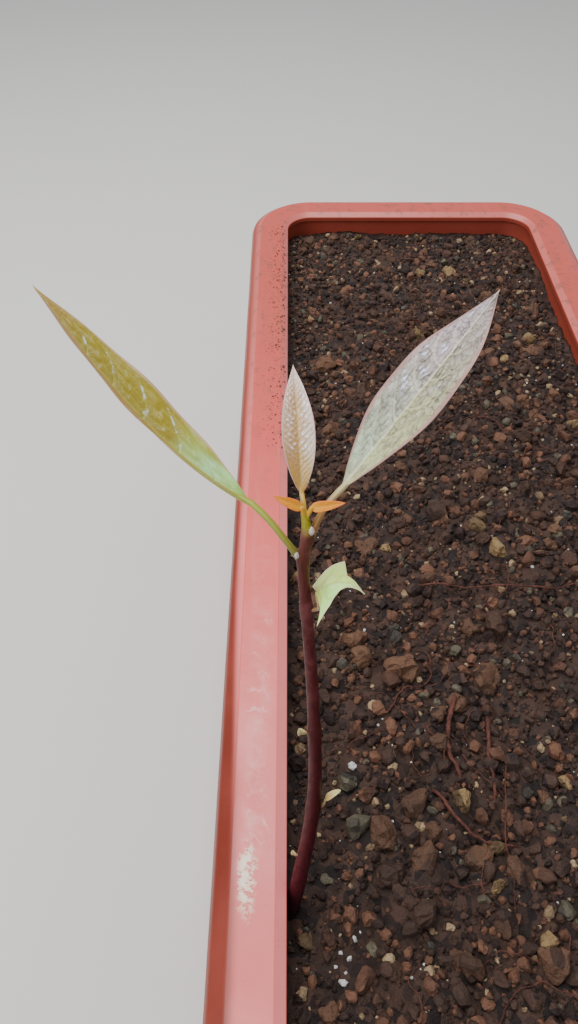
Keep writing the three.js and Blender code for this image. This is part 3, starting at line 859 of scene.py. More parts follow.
def lime_patch(finish):
    """The patch of lime on the rim beside the stem's foot, broken up at its edge."""
    away = finish.nodes.new("ShaderNodeVectorMath")
    away.operation = "LENGTH"
    finish.feed(away.inputs[0], finish.moved((220, 62, 60), (22.5, 10.4, -11.1)))
    near = finish.level(away.outputs["Value"], 0.3, 1.1, 1.0, 0.0)
    patchy = finish.maths("ADD", finish.noise(380, 5.0, 0.72), finish.both(near, 0.16))
    return finish.both(near, finish.level(patchy, 0.54, 0.63))


def rubbed_patch(finish, past_x, place_y, upward):
    """Pale arcs and haze where the top of the rim has been rubbed."""
    arcs = finish.nodes.new("ShaderNodeTexWave")
    arcs.wave_type = "RINGS"
    arcs.rings_direction = "Z"
    finish.feed(arcs.inputs["Vector"], finish.moved((2.4, 1.0, 0.0), (0.244, 0.175, 0.0)))
    for name, value in (("Scale", 38), ("Distortion", 3.5), ("Detail", 3), ("Detail Scale", 5)):
        arcs.inputs[name].default_value = value
    across = finish.both(
        finish.level(past_x, -0.022, -0.017),
        finish.level(past_x, -0.013, -0.009, 1.0, 0.0),
    )
    stretch = finish.both(
        finish.level(place_y, -0.17, -0.15),
        finish.level(place_y, -0.14, 0.01, 1.0, 0.0),
    )
    broken = finish.level(finish.noise(75, 4.0, 0.7), 0.42, 0.66)
    lines = finish.both(finish.level(arcs.outputs["Fac"], 0.82, 1.0), broken)
    haze = finish.level(finish.noise(130, 5.0, 0.7), 0.4, 0.75, 0.0, 0.3)
    worn = finish.maths("MAXIMUM", finish.both(lines, 0.5), haze)
    return finish.both(finish.both(finish.both(across, stretch), worn), finish.level(upward, 0.9, 0.98))


def planter_dirt(finish, far, facing_up):
    """Specks and grime on the far part of the rim, and darker towards the planter's foot."""
    specks = finish.level(finish.noise(1100, 1.0), 0.7, 0.76)
    specks = finish.both(specks, finish.level(finish.noise(30), 0.45, 0.7))
    grime = finish.level(finish.noise(170, 5.0, 0.65), 0.5, 0.68)
    grime = finish.both(finish.both(far, facing_up), grime)
    dirt = finish.maths("MAXIMUM", finish.both(specks, 0.45), finish.both(grime, 0.55))
    # Darker towards the bottom of the planter, over its lowest 3 cm.
    return finish.maths("MAXIMUM", dirt, finish.level(finish.along("Z"), 0.0, 0.03, 0.35, 0.0))


def planter_plastic(sizes):
    """Sun-faded, lime-stained plastic, paler on top and darker on the sides partly as painted light and
    shade.
    """
    finish = Finish("planter_plastic", Specular_IOR_Level=0.5, Coat_Weight=0.12, Coat_Roughness=0.35)
    upward = finish.along("Z", finish.nodes.new("ShaderNodeNewGeometry").outputs["Normal"])
    place_x = finish.maths("ABSOLUTE", finish.along("X"))
    place_y = finish.along("Y")
    past_x = finish.maths("SUBTRACT", place_x, PLANTER_HIGH.x)
    on_top = finish.level(outer_slope(finish, sizes, place_x, place_y), 0.0, 1.0, 1.0, 0.0)
    facing_up = finish.both(finish.level(upward, 0.5, 0.82), on_top)
    lip = finish.both(facing_up, finish.level(upward, 0.86, 0.95, 1.0, 0.0))
    cloudy = finish.noise(28, 5.0, 0.6)
    streaks = finish.noise(60, 4.0, 0.6, at=finish.moved((3.0, 0.25, 1.0)))
    # Side colour to top colour by facing: partly the plastic's fading, partly painted shade on the sides
    # and painted sky reflection on top.
    body = finish.mix(facing_up, sizes.side, sizes.top)
    body = finish.mix(finish.both(lip, 0.6), body, 0xFF9A98)
    body = finish.mix(finish.level(cloudy, 0.35, 0.75, 0.0, 0.2), body, 0xC8503C)
    body = finish.mix(finish.both(finish.level(streaks, 0.5, 0.8, 0.0, 0.2), facing_up), body, 0xF49A98)
    # The top turns paler towards the end at negative Y.
    paler_near_end = finish.both(facing_up, finish.level(place_y, -0.13, -0.04, 0.2, 0.0))
    body = finish.mix(paler_near_end, body, 0xFF9A9C)
    stain = lime_patch(finish)
    body = finish.mix(stain, body, sizes.stain)
    body = finish.mix(rubbed_patch(finish, past_x, place_y, upward), body, 0xFFDCD2)
    far = finish.level(place_y, -0.06, 0.2)
    body = finish.mix(finish.both(far, 0.6), body, 0xB0503E)
    body = finish.mix(planter_dirt(finish, far, facing_up), body, 0x7A5444)
    finish.set("Base Color", body)
    finish.set("Roughness", finish.level(cloudy, 0.3, 0.7, 0.34, 0.5))
    rough = finish.maths("ADD", finish.both(finish.noise(1800, 2.0), 0.25), finish.noise(90, 3.0))
    finish.bump(finish.maths("ADD", rough, finish.both(stain, 0.8)), 0.25, 0.0004)
    return finish.material


def soil_finish(name, light, dark, scale, grain=1400, roughness=0.85):
    """Moist mineral matter whose tone changes from crumb to crumb."""
    light, dark = paint(light), paint(dark)
    finish = Finish(name, Specular_IOR_Level=0.35)
    tone = finish.cells(scale, output="Color")
    broad = finish.noise(45, 3.0)
    share = finish.maths("ADD", finish.both(finish.along("X", tone), 0.6), finish.both(broad, 0.5))
    body = finish.mix(finish.level(share, 0.2, 0.85), dark, light)
    fine = finish.both(finish.noise(grain, 4.0, 0.65), 0.6)
    fine = finish.maths("ADD", fine, finish.both(finish.noise(grain / 4, 3.0, 0.6), 0.4))
    body = finish.mix(finish.level(fine, 0.4, 0.75, 0.0, 0.45), body, [0.3 * c for c in dark])
    body = finish.mix(finish.level(fine, 0.6, 0.85, 0.0, 0.35), body, [min(1, 1.6 * c) for c in light])
    finish.set("Base Color", body)
    finish.set("Roughness", finish.level(broad, 0.35, 0.7, roughness - 0.25, roughness))
    finish.bump(fine, 0.9, 0.0011)
    return finish.material


def stem_bark(sizes, level):
    """Dark wine-coloured bark that turns to young growth at the tip."""
    finish = Finish("stem_bark", Specular_IOR_Level=0.2, Coat_Weight=0.04, Coat_Roughness=0.3)
    height = finish.nodes.new("ShaderNodeMapRange")
    top = level + STEM_PATH[-1][2] * MM
    for socket, value in zip(height.inputs, (finish.along("Z"), level, top, 0.0, 1.0)):
        finish.feed(socket, value)
    body = finish.ramp(
        height.outputs[0],
        (0.0, sizes.foot_colour),
        (0.1, 0x48161E),
        (0.4, sizes.bark),
        (0.75, 0x50191A),
        (0.9, sizes.neck_colour),
        (0.978, 0x5C2E20),
        (0.99, sizes.tip_colour),
    )
    streaks = finish.noise(900, 4.0, 0.6, at=finish.moved((1, 1, 0.07)))
    body = finish.mix(finish.level(streaks, 0.45, 0.75, 0.0, 0.5), body, 0x200A0E)
    pores = finish.level(finish.noise(2400, 1.0, at=finish.moved((1, 1, 0.5))), 0.7, 0.76)
    body = finish.mix(finish.both(pores, 0.4), body, 0x9A6A5E)
    bloom = finish.level(finish.noise(160, 2.0), 0.5, 0.75)
    bloom = finish.both(bloom, finish.level(height.outputs[0], 0.5, 0.9))
    body = finish.mix(finish.both(bloom, 0.3), body, 0x9A5A5C)
    finish.set("Base Color", body)
    finish.set("Roughness", finish.level(streaks, 0.3, 0.7, 0.42, 0.6))
    finish.bump(streaks, 0.4, 0.0002)
    return finish.material


# What a leaf's look says unless it says otherwise. Tones are stops from the base to the tip, shares and
# strengths run from 0 to 1, and the glints are painted highlights on what swells between the veins.
PLAIN_LOOK = dict(
    shine=0.4,
    sheen=0.0,
    grain=0.35,
    mottle=0.22,
    swell_share=0.3,
    glint_on="swell",
    glint_tops=(0.35, 0.8),
    glint_scale=0.3,
    glint_patches=(0.5, 0.6),
    glint_reach=(0.2, 0.9),
    left_glint=1.0,
    right_glint=1.0,
    margin_band=(0.6, 1.0),
)


def leaf_net(finish, plan, along, scale):
    """The fine net of veins, uneven from place to place and fainter near the base."""
    edge = finish.cells(scale, at=finish.wavering(plan, 0.9, 1.6), feature="DISTANCE_TO_EDGE")
    line = finish.level(edge, 0.0, 0.17, 1.0, 0.0)
    line = finish.both(line, finish.level(finish.noise(0.35, 2.0, at=plan), 0.35, 0.6, 0.3, 1.0))
    return finish.both(line, finish.level(along, 0.05, 0.5, 0.4, 1.0))


def painted_glint(finish, look, plan, along, left_half):
    """The painted highlights, which come in patches over a stretch of the blade."""
    patches = finish.level(finish.noise(look["glint_scale"], 3.0, 0.65, at=plan), *look["glint_patches"])
    half = finish.level(left_half, 0.0, 1.0, look["right_glint"], look["left_glint"])
    patches = finish.both(patches, half)
    low, high = look["glint_reach"]
    before, past = finish.level(along, low - 0.06, low), finish.level(along, high, high + 0.06, 1.0, 0.0)
    tops = finish.level(finish.attribute(look["glint_on"]), *look["glint_tops"])
    return finish.both(tops, finish.both(patches, finish.both(before, past)))


def leaf_finish(name, **own):
    """A leaf whose tones run from its base to its tip, with veins, margin and stalk of their own."""
    look = PLAIN_LOOK | own
    finish = Finish(
        name,
        Specular_IOR_Level=look["shine"],
        Coat_Weight=look["coat"],
        Coat_Roughness=0.18,
        Sheen_Weight=look["sheen"],
        Sheen_Roughness=0.4,
    )
    plan = finish.nodes.new("ShaderNodeUVMap")
    plan.uv_map = "blade"
    plan = plan.outputs[0]
    along = finish.attribute("along")
    left_half = finish.level(finish.along("Y", plan), -0.4, 0.4)
    from_midrib = finish.maths("ABSOLUTE", finish.along("Y", plan))
    mottle = finish.noise(260, 4.0, 0.6)
    body = finish.ramp(along, *look["tones"])
    if "left_tones" in look:
        body = finish.mix(left_half, body, finish.ramp(along, *look["left_tones"]))
    if "core" in look:
        inside = finish.level(from_midrib, 0.4, 2.6, 1.0, 0.0)
        inside = finish.both(inside, finish.level(along, 0.6, 0.9, 0.75, 0.0))
        body = finish.mix(inside, body, look["core"])
    if "fringe" in look:
        outside = finish.level(from_midrib, 3.4, 5.4)
        near_base = finish.level(along, 0.28, 0.36, 1.0, 0.0)
        body = finish.mix(finish.both(outside, near_base), body, look["fringe"])
    body = finish.mix(finish.level(mottle, 0.35, 0.7, 0.0, look["mottle"]), body, look["shade"])
    net_colour, net_share, net_scale = look["net"]
    net = leaf_net(finish, plan, along, net_scale)
    body = finish.mix(finish.both(net, net_share), body, net_colour)
    # The swell colour, paler than the blade on most leaves, is painted highlight on the tops of the swells.
    swollen = finish.level(finish.attribute("swell"), 0.15, 0.75)
    body = finish.mix(finish.both(swollen, look["swell_share"]), body, look["swell"])
    body = finish.mix(finish.both(finish.attribute("vein"), look["vein_share"]), body, look["vein"])
    # The glints are painted highlights, mixed into the base colour.
    glint = painted_glint(finish, look, plan, along, left_half)
    body = finish.mix(finish.both(glint, look["glint_share"]), body, look["glint"])
    margin = finish.level(finish.attribute("margin"), *look["margin_band"])
    body = finish.mix(margin, body, look["margin"])
    body = finish.mix(finish.attribute("under"), body, look["under"])
    stalk = finish.ramp(finish.attribute("down"), *look["stalk"])
    finish.set("Base Color", finish.mix(finish.attribute("stalk"), body, stalk))
    rough = finish.level(mottle, 0.3, 0.7, look["gloss"], look["gloss"] + 0.12)
    finish.set("Roughness", finish.maths("SUBTRACT", rough, finish.both(glint, 0.08)))
    grain = finish.maths("ADD", finish.both(net, -0.6), finish.both(finish.noise(1700, 2.0), 0.4))
    finish.bump(grain, look["grain"], 0.00015)
    return finish.material


# Shapes of the planter and its soil


def rounded(corners, steps=4):
    """A section with its corners rounded, each by its own radius, and held flat between them."""
    points = [np.array(corners[0][:2], float)]
    for (ax, ay, _), (bx, by, radius), (cx, cy, _) in zip(corners, corners[1:], corners[2:]):
        before, corner, after = np.array([ax, ay]), np.array([bx, by]), np.array([cx, cy])
        enter, leave = unit(before - corner), unit(after - corner)
        half = math.acos(float(np.clip(enter @ leave, -1, 1))) / 2
        room = 0.45 * min(np.linalg.norm(before - corner), np.linalg.norm(after - corner))
        reach = min(radius / math.tan(half), room)
        points.append(corner + enter * reach * 1.08)
        for k in range(steps + 1):
            share = k / steps
            points.append(
                (1 - share) ** 2 * (corner + enter * reach)
                + 2 * share * (1 - share) * corner
                + share**2 * (corner + leave * reach)
            )
        points.append(corner + leave * reach * 1.08)
    return [*points, np.array(corners[-1][:2], float)]


def wall_section(sizes):
    """The wall from its underside up the outside, round the rim and down to the floor.

    Each corner has its inset from the rim's edge, its height and its rounding, in millimetres.
    """
    top = PLANTER_HIGH.z / MM
    foot, mouth = sizes.foot_inset / MM, sizes.wall_inset / MM
    wall, floor = sizes.wall / MM, sizes.floor / MM
    rim, skirt = sizes.rim_width / MM, sizes.skirt / MM
    panel_foot, panel_top = FOOT_BAND + PANEL_DEPTH, top - TOP_BAND - PANEL_DEPTH
    under_rim = top - RIM_THICKNESS

    def inset(z):
        return foot + (mouth - foot) * z / top

    return [
        (foot + 3, 0, 0),
        (foot, 3, 2),
        (inset(FOOT_BAND), FOOT_BAND, 0.5),
        (inset(FOOT_BAND) + PANEL_DEPTH, panel_foot, 0.5),
        (inset(top - TOP_BAND) + PANEL_DEPTH, panel_top, 0.5),
        (inset(top - TOP_BAND), top - TOP_BAND, 0.5),
        (inset(under_rim), under_rim, 1),
        (7, under_rim, 1.5),
        (2.5, top - 6.5, 1.5),
        (2.5, top - skirt, 0.9),
        (0, top - skirt, 0.9),
        (0, top - 7, 3),
        (1.25, top - 3.4, 3),
        (7, top, 2.2),
        (rim - 4, top, 1.2),
        (rim, top - 2.5, 1.1),
        (rim, top - 5.5, 0.8),
        (inset(top - 7) + wall, top - 7, 0.8),
        (inset(floor + 1.5) + wall, floor + 1.5, 2),
        (inset(floor) + wall + 1.5, floor, 0),
    ]


def add_floor(mesh, sizes):
    """Closes the swept wall with the floor and its drain holes."""
    shell = bmesh.new()
    shell.from_mesh(mesh)
    bmesh.ops.remove_doubles(shell, verts=shell.verts, dist=1e-6)
    open_edges = [edge for edge in shell.edges if edge.is_boundary]
    sheets = {
        level: [edge for edge in open_edges if abs(edge.verts[0].co.z - level) < 1e-4]
        for level in (0.0, sizes.floor)
    }
    turns = [2 * math.pi * k / DRAIN_SIDES for k in range(DRAIN_SIDES)]
    circle = [(sizes.drain * math.cos(turn), sizes.drain * math.sin(turn)) for turn in turns]
    for x in DRAIN_COLUMNS:
        for y in np.linspace(*DRAIN_ENDS, DRAINS_IN_COLUMN):
            rings = []
            for level, edges in sheets.items():
                ring = [shell.verts.new((x + across, y + along, level)) for across, along in circle]
                edges += [shell.edges.new(pair) for pair in zip(ring, ring[1:] + ring[:1])]
                rings.append(ring)
            low, high = rings
            for k in range(DRAIN_SIDES):
                n = (k + 1) % DRAIN_SIDES
                shell.faces.new((low[k], low[n], high[n], high[k]))
    for edges in sheets.values():
        bmesh.ops.triangle_fill(shell, use_beauty=True, use_dissolve=False, edges=edges)
    bmesh.ops.recalc_face_normals(shell, faces=shell.faces)
    for edge in shell.edges:
        if len(edge.link_faces) != 2:
            raise RuntimeError("the planter's shell is open")
        edge.smooth = edge.calc_face_angle(0) < math.radians(40)
    for face in shell.faces:
        face.smooth = True
        face.material_index = 0
    shell.to_mesh(mesh)
    shell.free()


def soil_calm(x, y):
    """The soil's low swells and heaved lumps, in millimetres, flat along the walls."""
    half_x, half_y = PLANTER_HIGH.x / MM - SOIL_EDGE, PLANTER_HIGH.y / MM - SOIL_EDGE
    inward = 1 - np.maximum(np.abs(x) / half_x, np.abs(y) / half_y)
    waves = np.sin(x / 23 + 1) * np.cos(y / 41) + 0.6 * np.sin(y / 67 + x / 31)
    turn = 2 * math.pi / CLOD_PITCH
    clods = np.sin(turn * x + 1.2 * np.sin(y / 23)) * np.cos(turn * y + 1.2 * np.sin(x / 17))
    return SOIL_SWELL * (eased(inward, 0.18, 0.6) * waves + eased(inward, 0.08, 0.24) * clods)


def soil_height(x, y, sizes):
    """The crumbly surface, in millimetres above the planter's underside."""
    relief = sizes.relief / MM
    crumbs = 0.55 * hills(x, y, 19, 3) + 0.35 * hills(x, y, 8, 4)
    crumbs += 0.75 * domes(x, y, 6.5, 5) * (0.5 + 0.5 * hills(x, y, 25, 8))
    crumbs += 0.45 * domes(x, y, 3.1, 6) + 0.12 * hills(x, y, 1.4, 7) - 0.5
    return sizes.level / MM + soil_calm(x, y) + relief * crumbs


def in_planter(u, v, inset, corner):
    """Points of a square from -1 to 1 laid out over the planter's rounded plan, in millimetres."""
    half = np.array([PLANTER_HIGH.x, PLANTER_HIGH.y]) / MM - inset
    radius = max(corner - inset, 6)
    plan = np.stack([u * half[0], v * half[1]], -1)
    into = np.clip(np.abs(plan) - (half - radius), 0, None)
    square, disc = into.max(-1, keepdims=True), np.linalg.norm(into, axis=-1, keepdims=True)
    rounder = into * np.where(disc > 0, square / np.maximum(disc, 1e-9), 1)
    return plan + np.sign(plan) * (rounder - into)


def soil_mesh(planter, soil, material):
    """The soil's surface and its sides down to the floor."""
    corner, foot, mouth = (size / MM for size in (planter.corner, planter.foot_inset, planter.wall_inset))
    top, floor, wall = PLANTER_HIGH.z / MM, planter.floor / MM, planter.wall / MM
    across = int(2 * PLANTER_HIGH.x / soil.pitch)
    along = int(2 * PLANTER_HIGH.y / soil.pitch)

    def inset(z):
        return foot + (mouth - foot) * z / top + wall

    u, v = np.meshgrid(np.linspace(-1, 1, across), np.linspace(-1, 1, along), indexing="ij")
    plan = in_planter(u, v, inset(soil.level / MM) - 0.1, corner)
    heights = soil_height(plan[..., 0], plan[..., 1], soil)
    points = np.dstack([plan, heights]).reshape(-1, 3)
    index = np.arange(across * along).reshape(across, along)
    quads = [index[:-1, :-1], index[1:, :-1], index[1:, 1:], index[:-1, 1:]]
    faces = np.stack(quads, -1).reshape(-1, 4).tolist()
    edge = np.concatenate([index[:-1, 0], index[-1, :-1], index[:0:-1, -1], index[0, :0:-1]])
    edge_u, edge_v = u.ravel()[edge], v.ravel()[edge]
    above = edge
    for z in (soil.level / MM - 8, 60, floor + 0.1):
        ring = in_planter(edge_u, edge_v, inset(z) + 0.1 + (1.5 if z < 10 else 0), corner)
        below = np.arange(len(edge)) + len(points)
        points = np.vstack([points, np.column_stack([ring, np.full(len(edge), z)])])
        faces += np.stack([np.roll(above, -1), above, below, np.roll(below, -1)], -1).tolist()
        above = below
    faces.append(tuple(above[::-1].tolist()))
    mesh = mesh_of("soil_bed", points * MM, faces, material)
    face_outwards(mesh)
    return mesh


def strewn(kind, order, soil):
    """Seeded places and sizes of one kind of crumb, clear of the stem's foot."""
    count, small, large, bias = GRIT[kind][:4]
    seeded = np.random.default_rng(50 + order)
    sizes = small + (large - small) * seeded.uniform(0, 1, count * 2) ** bias
    u, v = seeded.uniform(-1, 1, (2, count * 2))
    spots = in_planter(u, v, STREWN_INSET + large / 2, STREWN_CORNER)
    clear = np.hypot(spots[:, 0] - STEM_FOOT[0], spots[:, 1] - STEM_FOOT[1]) > STREWN_CLEAR + sizes / 2
    for _, x, y, size in STONES:
        clear &= np.hypot(spots[:, 0] - x, spots[:, 1] - y) > STONE_SPACING * (size + sizes)
    if large > STONE_APART:
        for k in range(len(sizes)):
            if clear[k]:
                apart = np.hypot(*(spots[k + 1 :] - spots[k]).T)
                clear[k + 1 :] &= apart >= STONE_SPACING * (sizes[k + 1 :] + sizes[k])
    spots, sizes = spots[clear][:count], sizes[clear][:count]
    own = [stone[1:] for stone in STONES if stone[0] == kind]
    if own:
        own = np.array(own)
        spots, sizes = np.vstack([own[:, :2], spots]), np.concatenate([own[:, 2], sizes])
    heights = soil_height(spots[:, 0], spots[:, 1], soil) + sizes * (STONE_LIFT - soil.sink)
    return np.column_stack([spots, heights]), sizes


def rim_dust():
    """Places and sizes of the crumbs spilled on the rim's far part, densest at its inner edge."""
    seeded = np.random.default_rng(91)
    y = DUST_START + DUST_REACH * seeded.uniform(0, 1, DUST_COUNT) ** 0.75
    inward = seeded.uniform(0, 1, DUST_COUNT) ** 0.55
    x = DUST_INSET - PLANTER_HIGH.x / MM + DUST_WIDTH * inward
    sizes = 0.35 + 1.5 * seeded.uniform(0, 1, DUST_COUNT) ** 4 * inward
    down_lip = 0.62 * np.clip(x + PLANTER_HIGH.x / MM - 22.4, 0, 4)
    heights = PLANTER_HIGH.z / MM - down_lip + 0.15 * sizes
    return np.column_stack([x, y, heights]), sizes


def stones_mesh(tree, places, sizes, facets, seed, material):
    """One mesh of stones of one kind, each at its place and as large as its size."""
    points = bpy.data.meshes.new("stones")
    points.from_pydata((places * MM).tolist(), [], [])
    number(points, "size", sizes * MM)
    mesh = tree.grow(points, material, Facets=facets, Roughness=0.75, Seed=seed)
    mesh.attributes.remove(mesh.attributes["size"])
    return mesh


def rootlet_lines(soil):
    """Thick roots along their places and fine ones that wander, each thinning towards its end."""
    seeded = np.random.default_rng(23)
    lines, thicknesses = [], []
    for radius, places in ROOTS:
        count = 60
        plan = curve_points([(x, y, 0) for x, y in places], count)[:, :2]
        plan = plan + np.cumsum(seeded.normal(0, 0.12, (count, 2)), 0)
        rise = soil_calm(plan[:, 0], plan[:, 1]) + soil.level / MM + 2.2 + 0.9 * radius
        rise = rise - 3 * (np.abs(np.linspace(-1, 1, count)) ** 8)
        lines.append(np.column_stack([plan, rise]) * MM)
        uneven = seeded.uniform(0.86, 1.14, count)
        thicknesses.append(radius * MM * (1 - 0.45 * np.linspace(0, 1, count)) * uneven)
    for _ in range(soil.rootlets):
        at = np.array([seeded.uniform(*ROOTLET_X), seeded.uniform(*ROOTLET_Y)])
        heading = seeded.uniform(0, 2 * math.pi)
        count = int(seeded.uniform(14, 46))
        thick = seeded.uniform(0.14, 0.42)
        line = []
        for step in range(count):
            share = step / (count - 1)
            heading += seeded.normal(0, 0.26)
            at = at + ROOTLET_STEP * np.array([math.cos(heading), math.sin(heading)])
            at[0] = min(max(at[0], -ROOTLET_EDGE), ROOTLET_EDGE)
            z = soil.level / MM + float(soil_calm(at[0], at[1])) + 1.2 + 1.5 * math.sin(3.1 * share)
            line.append((*at, z))
        lines.append(np.array(line) * MM)
        thicknesses.append(thick * MM * (1 - 0.6 * np.linspace(0, 1, count)))
    return lines, thicknesses


# Shapes of the leaves and buds


def leaf_frame(leaf):
    """The side that a blade's face looks to, and the direction across the blade."""
    axis = unit(np.subtract(leaf["tip"], leaf["base"]))
    level = unit(UP - axis * (UP @ axis))
    normal = turned(level, axis, math.radians(leaf["face"]))
    return normal, np.cross(axis, normal)


def leaf_spine(leaf, shares):
    """Centre line of the blade and, at each point, its forward, left and face directions."""
    normal, right = leaf_frame(leaf)
    base, tip = np.array(leaf["base"], float), np.array(leaf["tip"], float)
    shares = shares[:, None]
    bow = 4 * shares * (1 - shares) * (1 + leaf["lean"] * (1 - 2 * shares))
    centre = base + (tip - base) * shares + normal * leaf["arch"] * bow + right * leaf["sweep"] * bow
    forward = unit(np.gradient(centre, axis=0))
    left = unit(np.cross(normal, forward))
    return centre, forward, left, np.cross(forward, left)


def marks_of(points, **own):
    """The numbers of every point: those that are given, and 0 for the rest."""
    everywhere = np.ones(points.shape[:-1])
    return {name: own.get(name, 0) * everywhere for name in (*LEAF_MARKS, "across")}


def blade_half_width(leaf, shares, sides):
    """Half the blade's width, the same on both sides unless the leaf has lobes."""
    a, b = leaf["base_shape"], leaf["tip_shape"]
    widest = a / (a + b)
    shares = np.clip(shares, 0, 1)
    plain = leaf["half_width"] * shares**a * (1 - shares) ** b / (widest**a * (1 - widest) ** b)
    if "lobes" not in leaf:
        return plain
    left, right = (np.interp(shares, *np.transpose(lobe)[:2]) for lobe in leaf["lobes"])
    return np.where(sides > 0, left, right)


def edge_ahead(leaf, shares, sides):
    """How far the edge of a lobed blade lies ahead of the midrib's place."""
    if "lobes" not in leaf:
        return 0
    left, right = (np.interp(shares, *np.transpose(lobe)[::2]) for lobe in leaf["lobes"])
    return np.where(sides > 0, left, right)


def vein_marks(leaf, veins, shares, sides):
    """How close each place of the blade is to a vein, and how far it swells between the veins."""
    span = np.linalg.norm(np.subtract(leaf["tip"], leaf["base"]))
    away = np.abs(sides)
    phase = (shares - veins["slant"] * away ** veins["curve"]) * veins["count"] + 0.45 * (sides > 0)
    phase = phase + 0.09 * np.sin(9 * shares + 3 * sides)
    waver = np.sin(37 * shares + 9 * sides) * np.cos(13 * shares - 11 * away)
    phase = phase + veins.get("waver", 0) * waver
    off = np.abs(phase - np.round(phase)) / veins["count"] * span
    thick = SIDE_VEIN_THICKNESS * (1 - 0.55 * away) * (leaf["half_width"] / 9) ** 0.5
    fade = (1 - eased(away, 0.78, 0.97)) * eased(shares, 0.02, 0.1) * (1 - eased(shares, 0.88, 0.98))
    side_vein = np.exp(-((off / thick) ** 2)) * fade
    midrib_width = MIDRIB_WIDTH * (1.1 - 0.8 * shares)
    midrib = np.exp(-((away * blade_half_width(leaf, shares, sides) / midrib_width) ** 2))
    rung = away * veins["rungs"] + 0.31 * np.round(phase) + 0.3 * np.sin(2.7 * phase + 1.3 * sides)
    rungs = np.exp(-(((rung - np.round(rung)) / 0.12) ** 2)) * fade
    rungs = rungs * (1 - side_vein) * eased(away, 0.05, 0.15)
    beside = np.exp(-((off / (2.6 * thick)) ** 2)) * fade * eased(away, 0.06, 0.2)
    swell = np.sin(math.pi * (phase - np.floor(phase))) ** 2
    swell = swell * (0.3 + 0.7 * np.sin(math.pi * (rung - np.floor(rung))) ** 2)
    swell = swell * np.sin(math.pi * np.clip(away, 0, 1) ** 0.8) ** 0.7 * fade
    swell = swell * eased(shares, *veins.get("calm", (0.0, 0.02)))
    return midrib, side_vein, rungs, swell, beside


def blade(leaf, veins, thickness, rows, columns):
    """Rings of points round the thin blade, from base to tip, and the marks that its finish reads."""
    shares = 0.5 - 0.5 * np.cos(math.pi * np.linspace(0.002, 0.999, rows))
    shares = 0.5 * shares + 0.5 * np.linspace(0.0, 1.0, rows)
    centre, forward, left, face = leaf_spine(leaf, shares)
    across = np.linspace(1, -1, columns)
    sides = np.concatenate([across, across[::-1][1:-1]])[None, :]
    upper = np.concatenate([np.ones(columns), -np.ones(columns - 2)])[None, :]
    shares = shares[:, None]
    half = np.maximum(blade_half_width(leaf, shares, sides), 0.02)
    away = np.abs(sides)
    stalk = leaf["stalk"] * (1 - 0.75 * shares)
    flat = np.clip((half - stalk) / (2.5 * stalk), 0, 1)
    fold = np.radians(np.where(sides > 0, *leaf["fold"])) * flat
    midrib, side_vein, rungs, swell, beside = vein_marks(leaf, veins, shares, sides)
    wave = veins["wave"] * np.sin(19 * shares + 2.2 * np.sign(sides))
    wave = wave * away**3 * eased(shares, 0.05, 0.2)
    lift = (np.sqrt((away * half) ** 2 + 0.12) - 0.346) * np.sin(fold)
    lift = lift + wave * half / leaf["half_width"]
    depth = thickness * (0.5 - 0.22 * away**4) * np.sqrt(np.clip(1 - away**10, 0, 1))
    relief = veins["quilt"] * swell * np.minimum(half / leaf["half_width"] * 1.5, 1)
    relief = relief - veins["rib"] * side_vein - 0.4 * veins["rib"] * rungs - 0.06 * midrib * flat
    level = lift + relief + upper * depth
    points = (
        centre[:, None]
        + left[:, None] * (half * sides * np.cos(fold))[..., None]
        + face[:, None] * level[..., None]
        + forward[:, None] * (edge_ahead(leaf, shares, sides) * away)[..., None]
    )
    marks = marks_of(
        points,
        along=shares,
        vein=np.clip(midrib + 0.75 * side_vein + 0.3 * rungs, 0, 1),
        swell=swell,
        beside=beside,
        margin=eased(away, 0.75, 1.0),
        under=upper < 0,
        across=sides * half,
    )
    return points, marks


def stalk_line(leaf, stem_sizes):
    """The stalk from inside the stem to the blade, and on under the midrib, with its face directions."""
    shares = np.linspace(0.012, 0.97, 90)
    centre, _, _, face = leaf_spine(leaf, shares)
    target = np.array((leaf["petiole"] or (leaf["base"],))[0], float)
    if leaf["node"] is None:
        start, tangent = stem_place(STEM_PATH[-1][2])
        start = start - tangent * 0.8
    else:
        start, tangent = stem_place(leaf["node"])
        out = target - start
        out = unit(out - tangent * (out @ tangent))
        start = start + out * (stem_radius(leaf["node"], stem_sizes) - 0.7)
    curve = curve_points([start, *leaf["petiole"], leaf["base"]], 40)[:-1]
    under = leaf["stalk"] * (0.62 * (1 - shares) ** 1.3 + 0.1)
    join = 1 - eased(shares, 0.0, 0.1)
    radius = under + (leaf["stalk"] - under) * join
    centre = centre - face * (radius * 0.86 * (1 - 0.8 * join))[:, None]
    line = np.vstack([curve, centre])
    flare = 0.35 * np.exp(-((np.arange(len(curve)) / 5.0) ** 2))
    radii = np.concatenate([leaf["stalk"] * (1 + flare), radius])
    down = np.concatenate([np.linspace(0, 0.5, len(curve)), 0.5 + 0.5 * shares])
    return line, radii, down, np.vstack([np.tile(face[0], (len(curve), 1)), face])


